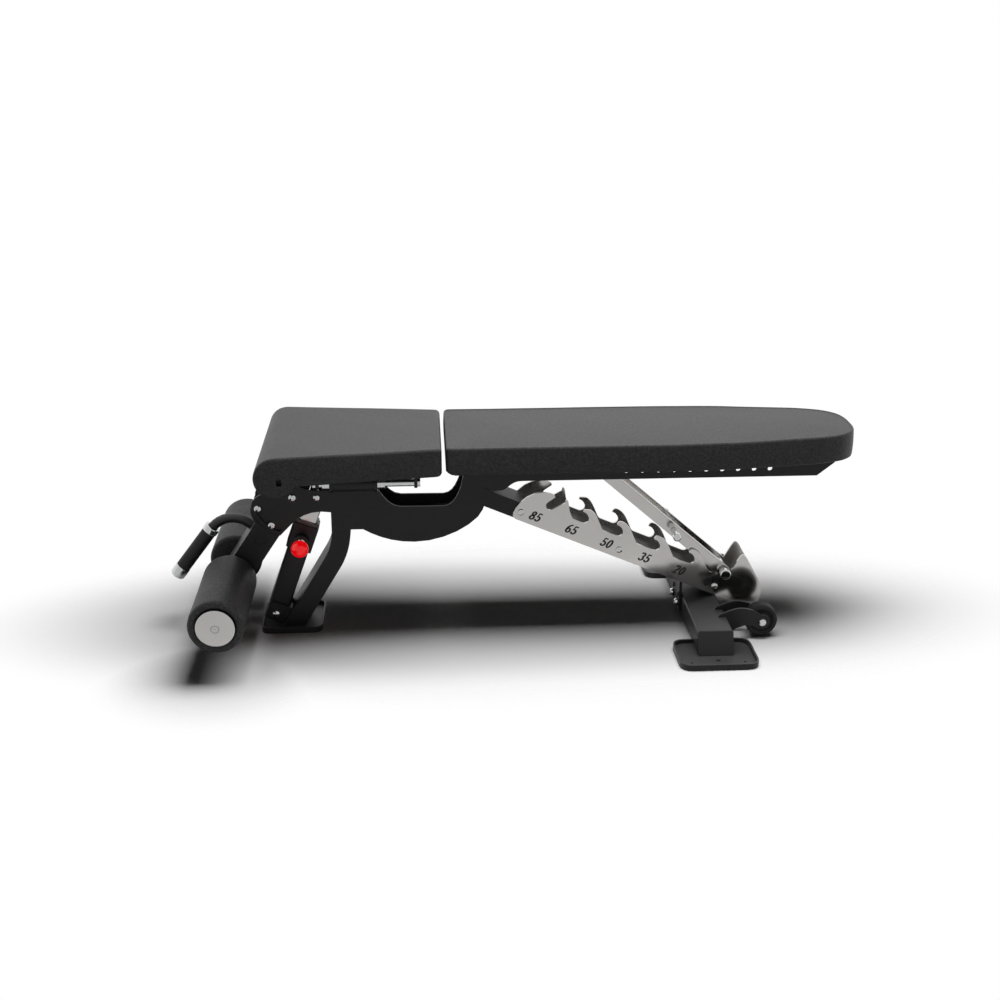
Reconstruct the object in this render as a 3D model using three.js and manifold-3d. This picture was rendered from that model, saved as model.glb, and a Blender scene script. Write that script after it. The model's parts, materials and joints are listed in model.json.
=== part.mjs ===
// Adjustable weight bench: a flat-to-upright back pad carried on a rocking strut that drops
// into a toothed ladder, a sliding and tilting seat, a telescopic front prop, and a pair of
// foam leg rollers on a swinging holder.
//
// Millimetres, +Z up. X runs from the leg rollers (-) to the head end (+), Y across.
// While the pieces are drawn, X = 0 is the middle of the gap between the two pads. The
// finished bench is then shifted so that the origin is under the centre of its bounding box.

import * as THREE from 'three';
import { mergeVertices } from 'three/addons/utils/BufferGeometryUtils.js';
import Module from 'manifold-3d';

const wasm = await Module();
wasm.setup();

const RAD = Math.PI / 180;

// ---------------------------------------------------------------- driving dimensions

const CLEARANCE = 0.3;          // between pieces that touch or are welded
const RUNNING = 0.25;           // radial play of a shaft in its bore

const PAD_TOP = 450;            // height of both pads when flat
const PAD_GAP = 9;              // between the seat and the back pad
const PAD_EDGE = 8;             // rounding of the pads' edges

const SEAT_LENGTH = 390;
const SEAT_REAR_WIDTH = 294;
const SEAT_FRONT_WIDTH = 392;
const SEAT_REAR_DEPTH = 62;     // thickness at the rear face
const SEAT_WEDGE = 0.6;         // degrees that the underside falls towards the front
const SEAT_ROLL = 44.5;         // radius of the rolled front
const SEAT_AXLE = [-342, 396];  // tilt axis
const SEAT_TILT = 14;           // degrees, rear end down
const SEAT_TRAVEL = 60;         // forward slide

const BACK_LENGTH = 900.5;
const BACK_WIDTH = 292;
const BACK_DEPTH = 55;
const BACK_TAPER_START = 480;   // where the sides begin to draw in
const BACK_CHAMFER = [16, 8];   // under the front edge

const FRAME_HALF = 43;          // outside of the side plates and ladder plates
const PLATE = 5;                // their thickness
const SHEET = 4;                // thin folded steel
const TUBE_WALL = 3;

const BACK_HINGE = [60, 372];   // recline axis
const ARM_PIVOT = [334.9, 368.1]; // where the strut hangs in the back frame
const BAR_SEAT = [632.5, 109.4]; // strut cross bar in the flat notch
const LADDER_SLOPE = 23.2;      // degrees below level
const LADDER_ANGLES = [0, 20, 35, 50, 65, 85];

const BAR_RADIUS = 9.5;
const NOTCH_PLAY = 1;
const BAR_CAP_RADIUS = 12.7;
const BAR_CAP_LENGTH = 8;
const ARM_WIDTH = 24;
const ARM_THICKNESS = 6;
const LIFT_BAR_UP = 158;        // from the cross bar to the lift bar
const LIFT_BAR_RADIUS = 6;
const LIFT_BAR_HALF = 85;

const SPINE_HEIGHT = 38;
const SPINE_DROP = 19.5;        // spine top below the line of the notches

const LEG_DEPTH = 41;           // front leg, along X
const LEG_TOP = [-227.2, 236];
const LEG_KNEE = [-227.2, 190];
const LEG_FOOT = [-339, 5];
const LEG_BEND = 155;

const FOOT_HEIGHT = 14;
const FOOT_FLOOR = 5;
const FOOT_RIM = 4;
const FRONT_FOOT_X = [-412, -275];
const FRONT_FOOT_HALF = 75;
const REAR_FOOT_X = [491, 661.5];
const REAR_FOOT_Y = [181, 308];

const REAR_TUBE_X = [538.5, 616];
const REAR_TUBE_TOP = 55;
const REAR_TUBE_HALF = 228;
const REAR_CAP_LEAN = 20;       // degrees that the tube's end caps lean out at the bottom

const WHEEL_CENTRE = [695.5, 40.4];
const WHEEL_RADIUS = 36;
const WHEEL_Y = [124, 155];
const WHEEL_AXLE = 5;
const WHEEL_BOSS = 17;

const HOLDER_PIVOT = [-330.2, 311];
const HOLDER_ANGLE = 236;       // direction of the roller holder
const HOLDER_SWING = 12;
const HOLDER_EDGES = [-36.4, 22.9]; // its two edges, either side of the pivot
const NOSE_RADIUS = 94;         // side plate's rounded nose about the holder pivot
const SLOT_RADIUS = 80;
const SLOT_HALF = 6;
const SLOT_SCREWS = [197.7, 233.1]; // where the two screws stand in the slot
const ROLLER_AT = [233.4, -16.4];   // along and across the holder
const ROLLER_RADIUS = 58.5;
const ROLLER_Y = [52, 306];
const ROLLER_TUBE = 12.5;
const ROLLER_DISC = 40.6;
const ROLLER_DISC_THICKNESS = 5;

const BRIDGE_AT = [120.6, -7.3];
const BRIDGE_RADIUS = 17;
const HANDLE_TUBE = 11;
const HANDLE_LEAVES = 142;      // direction in which it leaves the bridge tube
const HANDLE_STEM = 38;
const HANDLE_BEND = 57;
const HANDLE_TURN = 90.5;
const HANDLE_STRAIGHT = 137;
const HANDLE_GRIP = 16;
const HANDLE_GRIP_LENGTH = 122;

const POST_PIVOT = [-381, 27.4];
const POST_LEAN = 20.1;         // degrees from upright
const POST_WIDTH = 46.6;
const POST_INNER_WIDTH = 40;
const POST_PLAY = 0.4;
const POST_SLEEVE = 57;
const POST_SLEEVE_SPAN = [164, 225];
const POST_GUIDE_AT = 300.8;    // guide bolt, along the post
const POST_TRAVEL = 20.6;
const PIN_AT = 190;             // pull pin, along the post
const PIN_RADIUS = 4.5;
const PIN_TRAVEL = 10;
const PIN_BOSS = [16, 17.5];    // radius and length
const PIN_NECK = 18;
const KNOB_RADIUS = 19;

const ROD_RADIUS = 8;
const ROD_Y = 66;
const ROD_Z = 349;
const ROD_SPAN = [-276, -57];
const HOUSING_SPAN = [-246, -143];
const HOUSING_RADIUS = 17;
const HOUSING_FLANGE = 20.5;
const BUSH_RADIUS = 12.5;
const BUSH_LENGTH = 16;

const BEAM_TOP = 362;           // underside of the carrier's top plate

const SEAT_AXLE_RADIUS = 6;
const HINGE_BOLT = 8;
const HOLDER_BOLT = 6;
const GUIDE_BOLT = 5;
const ARM_BOLT = 6;
const POST_BOLT = 6;
const LADDER_BOLT = 4;
const LADDER_BOLTS_AT = [-487, -247, -7]; // along the ladder

// ---------------------------------------------------------------- values worked out

const PLATE_IN = FRAME_HALF - PLATE;
const SEAT_REAR = -PAD_GAP / 2;
const BACK_FRONT = PAD_GAP / 2;
const SEAT_FRONT = SEAT_REAR - SEAT_LENGTH;
const BACK_UNDER = PAD_TOP - BACK_DEPTH;
const NOTCH_RADIUS = BAR_RADIUS + NOTCH_PLAY;
const STRUT_RATIO = 1.3186;     // strut swing for each degree of recline
const SPINE_BOTTOM = SPINE_DROP + SPINE_HEIGHT;
const ARM_OUT = PLATE_IN - 2;
const ARM_IN = ARM_OUT - ARM_THICKNESS;

const sub = (a, b) => [a[0] - b[0], a[1] - b[1]];
const length = (a) => Math.hypot(a[0], a[1]);
const turn = (a, degrees) => {
  const c = Math.cos(degrees * RAD);
  const s = Math.sin(degrees * RAD);
  return [a[0] * c - a[1] * s, a[0] * s + a[1] * c];
};
const ARM_LENGTH = length(sub(BAR_SEAT, ARM_PIVOT));

// Height of the seat's underside at a given X.
const seatUnder = (x) => PAD_TOP - SEAT_REAR_DEPTH + (x - SEAT_REAR) * Math.tan(SEAT_WEDGE * RAD);

// How far up the ladder the cross bar lies when the back is raised by an angle: the strut
// keeps its length, so the bar is where a circle about the raised pivot meets the ladder.
function notchDistance(angle) {
  const arm = turn(sub(ARM_PIVOT, BACK_HINGE), angle);
  const from = sub(BAR_SEAT, [BACK_HINGE[0] + arm[0], BACK_HINGE[1] + arm[1]]);
  const up = [-Math.cos(LADDER_SLOPE * RAD), Math.sin(LADDER_SLOPE * RAD)];
  const along = from[0] * up[0] + from[1] * up[1];
  const rest = from[0] ** 2 + from[1] ** 2 - ARM_LENGTH ** 2;
  return -along - Math.sqrt(along ** 2 - rest);
}

// Where the cross bar is, along and above the ladder, when the back is raised by an angle and
// the strut swings by its linked share of it.
function barAt(angle) {
  const arm = turn(sub(ARM_PIVOT, BACK_HINGE), angle);
  const hang = turn(sub(BAR_SEAT, ARM_PIVOT), angle * (1 - STRUT_RATIO));
  const from = [BACK_HINGE[0] + arm[0] + hang[0] - BAR_SEAT[0], BACK_HINGE[1] + arm[1] + hang[1] - BAR_SEAT[1]];
  const [c, s] = [Math.cos(LADDER_SLOPE * RAD), Math.sin(LADDER_SLOPE * RAD)];
  return [from[0] * c - from[1] * s, from[0] * s + from[1] * c];
}

// ---------------------------------------------------------------- finishes

const finish = (color, roughness, metalness) => new THREE.MeshStandardMaterial({ color, roughness, metalness });
const POWDER_BLACK = finish('#2b2b2c', 0.5, 0.25);
const SATIN_SILVER = finish('#bfbdbb', 0.35, 0.85);
const CHROME = finish('#d8dadb', 0.12, 1);
const VINYL = finish('#2a2a2b', 0.7, 0);
const FOAM = finish('#1d1d1e', 0.9, 0);
const RUBBER = finish('#1a1a1a', 0.85, 0);
const BLACK_PLASTIC = finish('#242425', 0.5, 0);
const GREY_NYLON = finish('#c9cbcc', 0.45, 0);
const RED_GLOSS = finish('#e01218', 0.18, 0);

// ---------------------------------------------------------------- solids

// A closed mesh as a solid, placed by a matrix.
function solid(geometry, frame = new THREE.Matrix4()) {
  const bare = geometry.clone();
  bare.applyMatrix4(frame);
  bare.deleteAttribute('normal');
  bare.deleteAttribute('uv');
  const merged = mergeVertices(bare, 1e-4);
  const corners = Array.from(merged.index.array);
  const kept = [];
  for (let i = 0; i < corners.length; i += 3) {
    const [a, b, c] = corners.slice(i, i + 3);
    if (a !== b && b !== c && c !== a) kept.push(a, b, c);
  }
  return new wasm.Manifold(new wasm.Mesh({
    numProp: 3,
    vertProperties: merged.attributes.position.array,
    triVerts: new Uint32Array(kept),
  }));
}

const join = (...parts) => parts.reduce((whole, part) => whole.add(part));
const cut = (whole, ...tools) => tools.reduce((left, tool) => left.subtract(tool), whole);

function piece(name, whole, material) {
  const mesh = whole.getMesh();
  const geometry = new THREE.BufferGeometry();
  geometry.setAttribute('position', new THREE.BufferAttribute(mesh.vertProperties, 3));
  geometry.setIndex(new THREE.BufferAttribute(mesh.triVerts, 1));
  geometry.computeVertexNormals();
  const result = new THREE.Mesh(geometry, material);
  result.name = name;
  return result;
}

// Frames: a point in XZ and a turn that drops local +X below level.
function frameAt(point, degreesDown) {
  const frame = new THREE.Matrix4().makeRotationY(degreesDown * RAD);
  return frame.setPosition(point[0], 0, point[1]);
}

// An outline in XZ, raised across Y.
function slab(shape, yLow, yHigh, frame, curveSegments = 6) {
  const depth = yHigh - yLow;
  const geometry = new THREE.ExtrudeGeometry(shape, { depth, bevelEnabled: false, curveSegments });
  geometry.rotateX(Math.PI / 2);
  geometry.translate(0, yHigh, 0);
  return solid(geometry, frame);
}

// A plan outline in XY, raised along Z.
function raise(shape, zLow, zHigh, frame, curveSegments = 4) {
  const depth = zHigh - zLow;
  const geometry = new THREE.ExtrudeGeometry(shape, { depth, bevelEnabled: false, curveSegments });
  geometry.translate(0, 0, zLow);
  return solid(geometry, frame);
}

function block(x, y, z, frame) {
  const geometry = new THREE.BoxGeometry(x[1] - x[0], y[1] - y[0], z[1] - z[0]);
  geometry.translate((x[0] + x[1]) / 2, (y[0] + y[1]) / 2, (z[0] + z[1]) / 2);
  return solid(geometry, frame);
}

// A round bar across Y, about a point in XZ.
function drum(radius, yLow, yHigh, point, frame, sides = 16) {
  const geometry = new THREE.CylinderGeometry(radius, radius, yHigh - yLow, sides);
  geometry.translate(point[0], (yLow + yHigh) / 2, point[1]);
  return solid(geometry, frame);
}

// A round bar along X.
function barX(radius, x, y, z, frame, sides = 16) {
  const geometry = new THREE.CylinderGeometry(radius, radius, x[1] - x[0], sides);
  geometry.rotateZ(Math.PI / 2);
  geometry.translate((x[0] + x[1]) / 2, y, z);
  return solid(geometry, frame);
}

// A turned form about Y: profile points are [radius, distance along Y].
function turned(profile, point, yBase, direction, frame, sides = 18) {
  const points = profile.map(([r, y]) => new THREE.Vector2(r, y));
  const geometry = new THREE.LatheGeometry(points, sides);
  if (direction < 0) geometry.rotateX(Math.PI);
  geometry.translate(point[0], yBase, point[1]);
  return solid(geometry, frame);
}

// A closed outline whose corners are [x, z, rounding].
function rounded(corners) {
  const shape = new THREE.Shape();
  corners.forEach(([x, z, r = 0], i) => {
    const before = corners[(i + corners.length - 1) % corners.length];
    const after = corners[(i + 1) % corners.length];
    const back = sub(before, [x, z]);
    const ahead = sub(after, [x, z]);
    const reach = Math.min(r, length(back) / 2, length(ahead) / 2);
    const enter = [x + back[0] * reach / length(back), z + back[1] * reach / length(back)];
    const leave = [x + ahead[0] * reach / length(ahead), z + ahead[1] * reach / length(ahead)];
    if (i === 0) shape.moveTo(...enter);
    else shape.lineTo(...enter);
    if (reach > 0) shape.quadraticCurveTo(x, z, ...leave);
  });
  shape.closePath();
  return shape;
}

const rectangle = (x, z, r = 0) => rounded([[x[0], z[0], r], [x[1], z[0], r], [x[1], z[1], r], [x[0], z[1], r]]);

// The strip of a given width along a bent centre line: straight, one bend, straight.
function bentStrip(from, knee, to, bend, width, extra = 0) {
  const into = sub(knee, from);
  const out = sub(to, knee);
  const a = into.map((n) => n / length(into));
  const b = out.map((n) => n / length(out));
  const angle = Math.acos(a[0] * b[0] + a[1] * b[1]);
  const trim = bend * Math.tan(angle / 2);
  const side = Math.sign(a[0] * b[1] - a[1] * b[0]);
  const start = [knee[0] - a[0] * trim, knee[1] - a[1] * trim];
  const centre = [start[0] - side * a[1] * bend, start[1] + side * a[0] * bend];
  const first = Math.atan2(start[1] - centre[1], start[0] - centre[0]);
  const last = first + side * angle;
  const half = width / 2;
  const shape = new THREE.Shape();
  const edge = (point, along, offset, reach) => [
    point[0] + along[0] * reach - along[1] * offset,
    point[1] + along[1] * reach + along[0] * offset,
  ];
  shape.moveTo(...edge(from, a, side * half, -extra));
  shape.absarc(...centre, bend - half, first, last, side < 0);
  shape.lineTo(...edge(to, b, side * half, extra));
  shape.lineTo(...edge(to, b, -side * half, extra));
  shape.absarc(...centre, bend + half, last, first, side > 0);
  shape.lineTo(...edge(from, a, -side * half, -extra));
  shape.closePath();
  return shape;
}

// A button head seated at a Y face and pointing outwards.
function buttonHead(point, yFace, outwards, radius = 7.5, frame = undefined) {
  const height = radius * 0.5;
  const profile = [[0, 0], [radius, 0], [radius * 0.9, height * 0.5], [radius * 0.5, height], [0, height]];
  return turned(profile, point, yFace, outwards, frame, 12);
}

// The same on both sides of the bench.
const bothSides = (make) => join(make(-1), make(1));

// ---------------------------------------------------------------- front foot and leg

function footPan(x, y, corner = 22) {
  const outer = raise(rectangle(x, y, corner), 0, FOOT_HEIGHT);
  const inner = rectangle([x[0] + FOOT_RIM, x[1] - FOOT_RIM], [y[0] + FOOT_RIM, y[1] - FOOT_RIM], corner - FOOT_RIM);
  return cut(outer, raise(inner, FOOT_FLOOR, FOOT_HEIGHT + 1));
}

function floorHole(x, y, radius) {
  const geometry = new THREE.CylinderGeometry(radius, radius, FOOT_HEIGHT * 3, 16);
  geometry.rotateX(Math.PI / 2);
  geometry.translate(x, y, 0);
  return solid(geometry);
}

function frontFoot() {
  const pan = footPan(FRONT_FOOT_X, [-FRONT_FOOT_HALF, FRONT_FOOT_HALF]);
  const holes = [-1, 1].map((side) => floorHole(FRONT_FOOT_X[1] - 24, side * (FRONT_FOOT_HALF - 20), 4));
  return piece('front_foot', cut(pan, ...holes), POWDER_BLACK);
}

function legStrip(depth, yLow, yHigh, extra) {
  const shape = bentStrip(LEG_TOP, LEG_KNEE, LEG_FOOT, LEG_BEND, depth, extra);
  return slab(shape, yLow, yHigh, undefined, 7);
}

const underLeg = () => block([-450, -250], [-90, 90], [-90, FOOT_FLOOR + CLEARANCE]);

function legCore() {
  const half = PLATE_IN - CLEARANCE;
  const hollow = legStrip(LEG_DEPTH - 2 * TUBE_WALL, TUBE_WALL - half, half - TUBE_WALL, 60);
  const above = block([-300, -150], [-90, 90], [LEG_TOP[1], LEG_TOP[1] + 90]);
  return piece('leg_core', cut(legStrip(LEG_DEPTH, -half, half, 40), hollow, above, underLeg()), POWDER_BLACK);
}

// ---------------------------------------------------------------- side plates and web

function slotCut(yLow, yHigh) {
  const first = SLOT_SCREWS[0] - 0.6;
  const last = SLOT_SCREWS[1] + HOLDER_SWING + 0.6;
  const at = (degrees, radius) => turn([radius, 0], degrees);
  const shape = new THREE.Shape();
  shape.absarc(0, 0, SLOT_RADIUS + SLOT_HALF, first * RAD, last * RAD, false);
  shape.absarc(...at(last, SLOT_RADIUS), SLOT_HALF, last * RAD, (last + 180) * RAD, false);
  shape.absarc(0, 0, SLOT_RADIUS - SLOT_HALF, last * RAD, first * RAD, true);
  shape.absarc(...at(first, SLOT_RADIUS), SLOT_HALF, (first + 180) * RAD, (first + 360) * RAD, false);
  return slab(shape, yLow, yHigh, frameAt(HOLDER_PIVOT, 0), 6);
}

function sidePlateOutline() {
  const lug = 14;
  const eye = 16;
  const [hx, hz] = BACK_HINGE;
  const [sx, sz] = SEAT_AXLE;
  const [bx, bz] = HOLDER_PIVOT;
  const nose = [250.9, 196.7];
  const tip = turn([NOSE_RADIUS, 0], nose[1]);
  const legFront = LEG_TOP[0] - LEG_DEPTH / 2;
  const shape = new THREE.Shape();
  // lug for the seat axle, then the flat top
  shape.moveTo(sx + lug, sz);
  shape.bezierCurveTo(sx + lug, 366, -326, 350, -320, 338);
  shape.quadraticCurveTo(-311, 325, -267, 325);
  shape.lineTo(-143, 325);
  // recess that the seat's rear edge and the raised back pad dip into
  shape.bezierCurveTo(-134, 312, -120, 286, -95, 285);
  shape.lineTo(0, 284.3);
  shape.bezierCurveTo(20, 285, 29, 306, 37.4, 328.4);
  shape.lineTo(hx - eye, 360);
  // eye of the recline hinge, then the horn and the belly
  shape.absarc(hx, hz, eye, Math.PI, 0, true);
  shape.bezierCurveTo(hx + eye, 358, 86, 340, 90.5, 330);
  shape.bezierCurveTo(95, 314, 96, 284, 74.7, 257.7);
  shape.bezierCurveTo(45, 226, -12, 201, -65.3, 201.2);
  shape.bezierCurveTo(-112, 201, -148, 215, -179, 233.5);
  shape.lineTo(legFront + LEG_DEPTH, 233.5);
  shape.lineTo(legFront, 233.5);
  // arch in front of the leg
  shape.lineTo(legFront, 274.9);
  shape.bezierCurveTo(-285, 282, -316, 270, -335.4, 248.2);
  shape.lineTo(bx + NOSE_RADIUS * Math.cos(nose[0] * RAD), bz + NOSE_RADIUS * Math.sin(nose[0] * RAD));
  // nose about the holder's pivot
  shape.absarc(bx, bz, NOSE_RADIUS, nose[0] * RAD, nose[1] * RAD, true);
  shape.bezierCurveTo(bx + tip[0] - 2, bz + tip[1] + 20, -410, 314, -398, 319);
  shape.bezierCurveTo(-376, 327, sx - lug, 336, sx - lug, 366);
  shape.lineTo(sx - lug, sz);
  shape.absarc(sx, sz, lug, Math.PI, 0, true);
  return shape;
}

function sidePlate(name, side) {
  const y = side < 0 ? [-FRAME_HALF, -PLATE_IN] : [PLATE_IN, FRAME_HALF];
  const over = [y[0] - 1, y[1] + 1];
  const plate = cut(
    join(slab(sidePlateOutline(), ...y, undefined, 5), legStrip(LEG_DEPTH, ...y, 40)),
    underLeg(),
    slotCut(...over),
    drum(SEAT_AXLE_RADIUS + RUNNING, ...over, SEAT_AXLE),
    drum(HINGE_BOLT + RUNNING, ...over, BACK_HINGE),
    drum(HOLDER_BOLT + RUNNING, ...over, HOLDER_PIVOT),
    drum(GUIDE_BOLT + RUNNING, ...over, postPoint(POST_GUIDE_AT)),
  );
  return piece(name, plate, POWDER_BLACK);
}


function bellyWeb() {
  const half = SHEET / 2;
  const line = [[-152, 292], [-128, 268], [-92, 259], [-4, 259], [22, 268], [38, 290]];
  const path = new THREE.SplineCurve(line.map(([x, z]) => new THREE.Vector2(x, z))).getPoints(22);
  const normals = path.map((p, i) => {
    const a = path[Math.max(i - 1, 0)];
    const b = path[Math.min(i + 1, path.length - 1)];
    return new THREE.Vector2(a.y - b.y, b.x - a.x).normalize();
  });
  const upper = path.map((p, i) => p.clone().addScaledVector(normals[i], half));
  const lower = path.map((p, i) => p.clone().addScaledVector(normals[i], -half)).reverse();
  const half37 = PLATE_IN - CLEARANCE;
  return piece('belly_web', slab(new THREE.Shape([...upper, ...lower]), -half37, half37), POWDER_BLACK);
}

// ---------------------------------------------------------------- front prop

const POST = frameAt(POST_PIVOT, POST_LEAN);
const postPoint = (along) => [
  POST_PIVOT[0] + along * Math.sin(POST_LEAN * RAD),
  POST_PIVOT[1] + along * Math.cos(POST_LEAN * RAD),
];

function squareTube(width, wall, z) {
  const h = width / 2;
  const outer = raise(rectangle([-h, h], [-h, h], 5), ...z, POST, 3);
  const i = h - wall;
  return cut(outer, raise(rectangle([-i, i], [-i, i], 3), z[0] - 1, z[1] + 1, POST, 3));
}

const pinBore = (radius, y) => drum(radius, ...y, [0, PIN_AT], POST, 20);
const POST_WALL = (POST_WIDTH - POST_INNER_WIDTH) / 2 - POST_PLAY;

function postOuter() {
  const tube = squareTube(POST_WIDTH, POST_WALL, [-16, POST_SLEEVE_SPAN[1]]);
  const sleeve = squareTube(POST_SLEEVE, (POST_SLEEVE - POST_WIDTH) / 2 + 1, POST_SLEEVE_SPAN);
  const whole = cut(
    join(tube, sleeve),
    underLeg(),
    drum(POST_BOLT + RUNNING, -60, 60, [0, 0], POST),
    pinBore(PIN_RADIUS + 0.5, [-60, 0]),
  );
  return piece('post_outer_tube', whole, POWDER_BLACK);
}

function postGuide() {
  const z = [POST_SLEEVE_SPAN[1] + CLEARANCE, POST_SLEEVE_SPAN[1] + 7];
  const h = POST_WIDTH / 2 + 2;
  const i = POST_INNER_WIDTH / 2 + 0.5;
  const ring = raise(rectangle([-h, h], [-h, h], 6), ...z, POST, 3);
  return piece('post_guide', cut(ring, raise(rectangle([-i, i], [-i, i], 3), z[0] - 1, z[1] + 1, POST, 3)), GREY_NYLON);
}

function postBracket() {
  const gap = POST_WIDTH / 2 + 2.5;
  const cheek = rounded([
    [-22, -16, 18], [-23, 26, 3], [24, 26, 3], [44, 12, 0], [44, -24, 0], [10, -17, 8], [-6, -17, 12],
  ]);
  const make = (side) => {
    const y = side < 0 ? [-gap - SHEET, -gap] : [gap, gap + SHEET];
    return slab(cheek, ...y, POST);
  };
  const back = slab(rectangle([26, 46], [-22, 16]), -gap - 1, gap + 1, POST);
  const floor = block([-450, -250], [-60, 60], [-20, FOOT_FLOOR + CLEARANCE]);
  const whole = cut(
    join(bothSides(make), back),
    legStrip(LEG_DEPTH + 2 * CLEARANCE, -60, 60, 60),
    floor,
    drum(POST_BOLT + RUNNING, -60, 60, [0, 0], POST),
  );
  return piece('post_bracket', whole, POWDER_BLACK);
}

function postBolt() {
  const face = POST_WIDTH / 2 + 2.5 + SHEET + CLEARANCE;
  const shank = drum(POST_BOLT, -face, face, [0, 0], POST, 20);
  return piece('post_pivot_bolt', join(shank, bothSides((s) => buttonHead([0, 0], s * face, s, 9, POST))), CHROME);
}

function postInner() {
  const top = CAP_AT - 4;
  const tube = squareTube(POST_INNER_WIDTH, TUBE_WALL, [60, top]);
  const slotHalf = GUIDE_BOLT + 0.6;
  const guide = rectangle([-slotHalf, slotHalf], [POST_GUIDE_AT - slotHalf, POST_GUIDE_AT + POST_TRAVEL + slotHalf], 5);
  const stops = [0, 1].map((n) => drum(PIN_RADIUS + 1, -40, 0, [0, PIN_AT + n * POST_TRAVEL], POST, 18));
  return piece('post_inner_tube', cut(tube, slab(guide, -40, 40, POST, 3), ...stops), SATIN_SILVER);
}

const CAP_RADIUS = 12;
const CAP_AT = (BEAM_TOP - 0.5 - CAP_RADIUS - POST_PIVOT[1]) / Math.cos(POST_LEAN * RAD);

function postCap() {
  const half = POST_INNER_WIDTH / 2 - TUBE_WALL - CLEARANCE;
  const plug = raise(rectangle([-half, half], [-half, half], 2), CAP_AT - 14, CAP_AT, POST, 3);
  const collar = raise(rectangle([-16, 16], [-16, 16], 4), CAP_AT - 4 + CLEARANCE, CAP_AT, POST, 3);
  const nose = drum(CAP_RADIUS, -16, 16, [0, CAP_AT], POST);
  return piece('post_top_cap', cut(join(plug, collar, nose), block([-30, 30], [-30, 30], [0, CAP_AT - 14], POST)), BLACK_PLASTIC);
}

function guideBolt() {
  const face = FRAME_HALF + CLEARANCE;
  const at = postPoint(POST_GUIDE_AT);
  const shank = drum(GUIDE_BOLT, -face, face, at, undefined, 20);
  return piece('post_guide_bolt', join(shank, bothSides((s) => buttonHead(at, s * face, s, 8))), CHROME);
}

function pinHousing() {
  const face = -POST_SLEEVE / 2 - CLEARANCE;
  const [radius, long] = PIN_BOSS;
  const profile = [[0, 0], [radius, 0], [radius, long - 2], [radius - 2, long], [0, long]];
  const boss = turned(profile, [0, PIN_AT], face, -1, POST);
  return piece('pull_pin_boss', cut(boss, pinBore(PIN_RADIUS + 0.5, [-80, 0])), BLACK_PLASTIC);
}

function pullPin() {
  const tip = -POST_INNER_WIDTH / 2 - 0.5;
  const face = -POST_SLEEVE / 2 - 2 * CLEARANCE - PIN_BOSS[1];
  const pin = pinBore(PIN_RADIUS, [face - 4, tip]);
  const neck = [[0, 0], [10, 0], [10, 4], [7.5, 6], [7.5, PIN_NECK], [0, PIN_NECK]];
  return piece('pull_pin', join(pin, turned(neck, [0, PIN_AT], face, -1, POST)), CHROME);
}

function pinKnob() {
  const face = -POST_SLEEVE / 2 - 3 * CLEARANCE - PIN_BOSS[1] - PIN_NECK;
  const geometry = new THREE.SphereGeometry(KNOB_RADIUS, 18, 12);
  geometry.translate(0, face - KNOB_RADIUS + 1.5, PIN_AT);
  const flat = block([-40, 40], [face, face + 40], [PIN_AT - 40, PIN_AT + 40], POST);
  return piece('pull_pin_knob', cut(solid(geometry, POST), flat), RED_GLOSS);
}

// ---------------------------------------------------------------- spine and ladder

const LADDER = frameAt(BAR_SEAT, LADDER_SLOPE);
const rearTubeShape = (grow) => rectangle(
  [REAR_TUBE_X[0] - grow, REAR_TUBE_X[1] + grow],
  [FOOT_FLOOR + CLEARANCE - grow, REAR_TUBE_TOP + grow], 6,
);
const rearTubeRoom = () => slab(rearTubeShape(CLEARANCE), -300, 300);

function spineTube() {
  const half = PLATE_IN - CLEARANCE;
  const z = [-SPINE_BOTTOM, -SPINE_DROP];
  const outer = block([-680, 60], [-half, half], z, LADDER);
  const hollow = block([-700, 80], [TUBE_WALL - half, half - TUBE_WALL], [z[0] + TUBE_WALL, z[1] - TUBE_WALL], LADDER);
  const front = block([-120, 50], [-60, 60], [200, 460]);
  return piece('spine_tube', cut(outer, hollow, front, rearTubeRoom(), ...ladderBoltHoles()), POWDER_BLACK);
}

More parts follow.
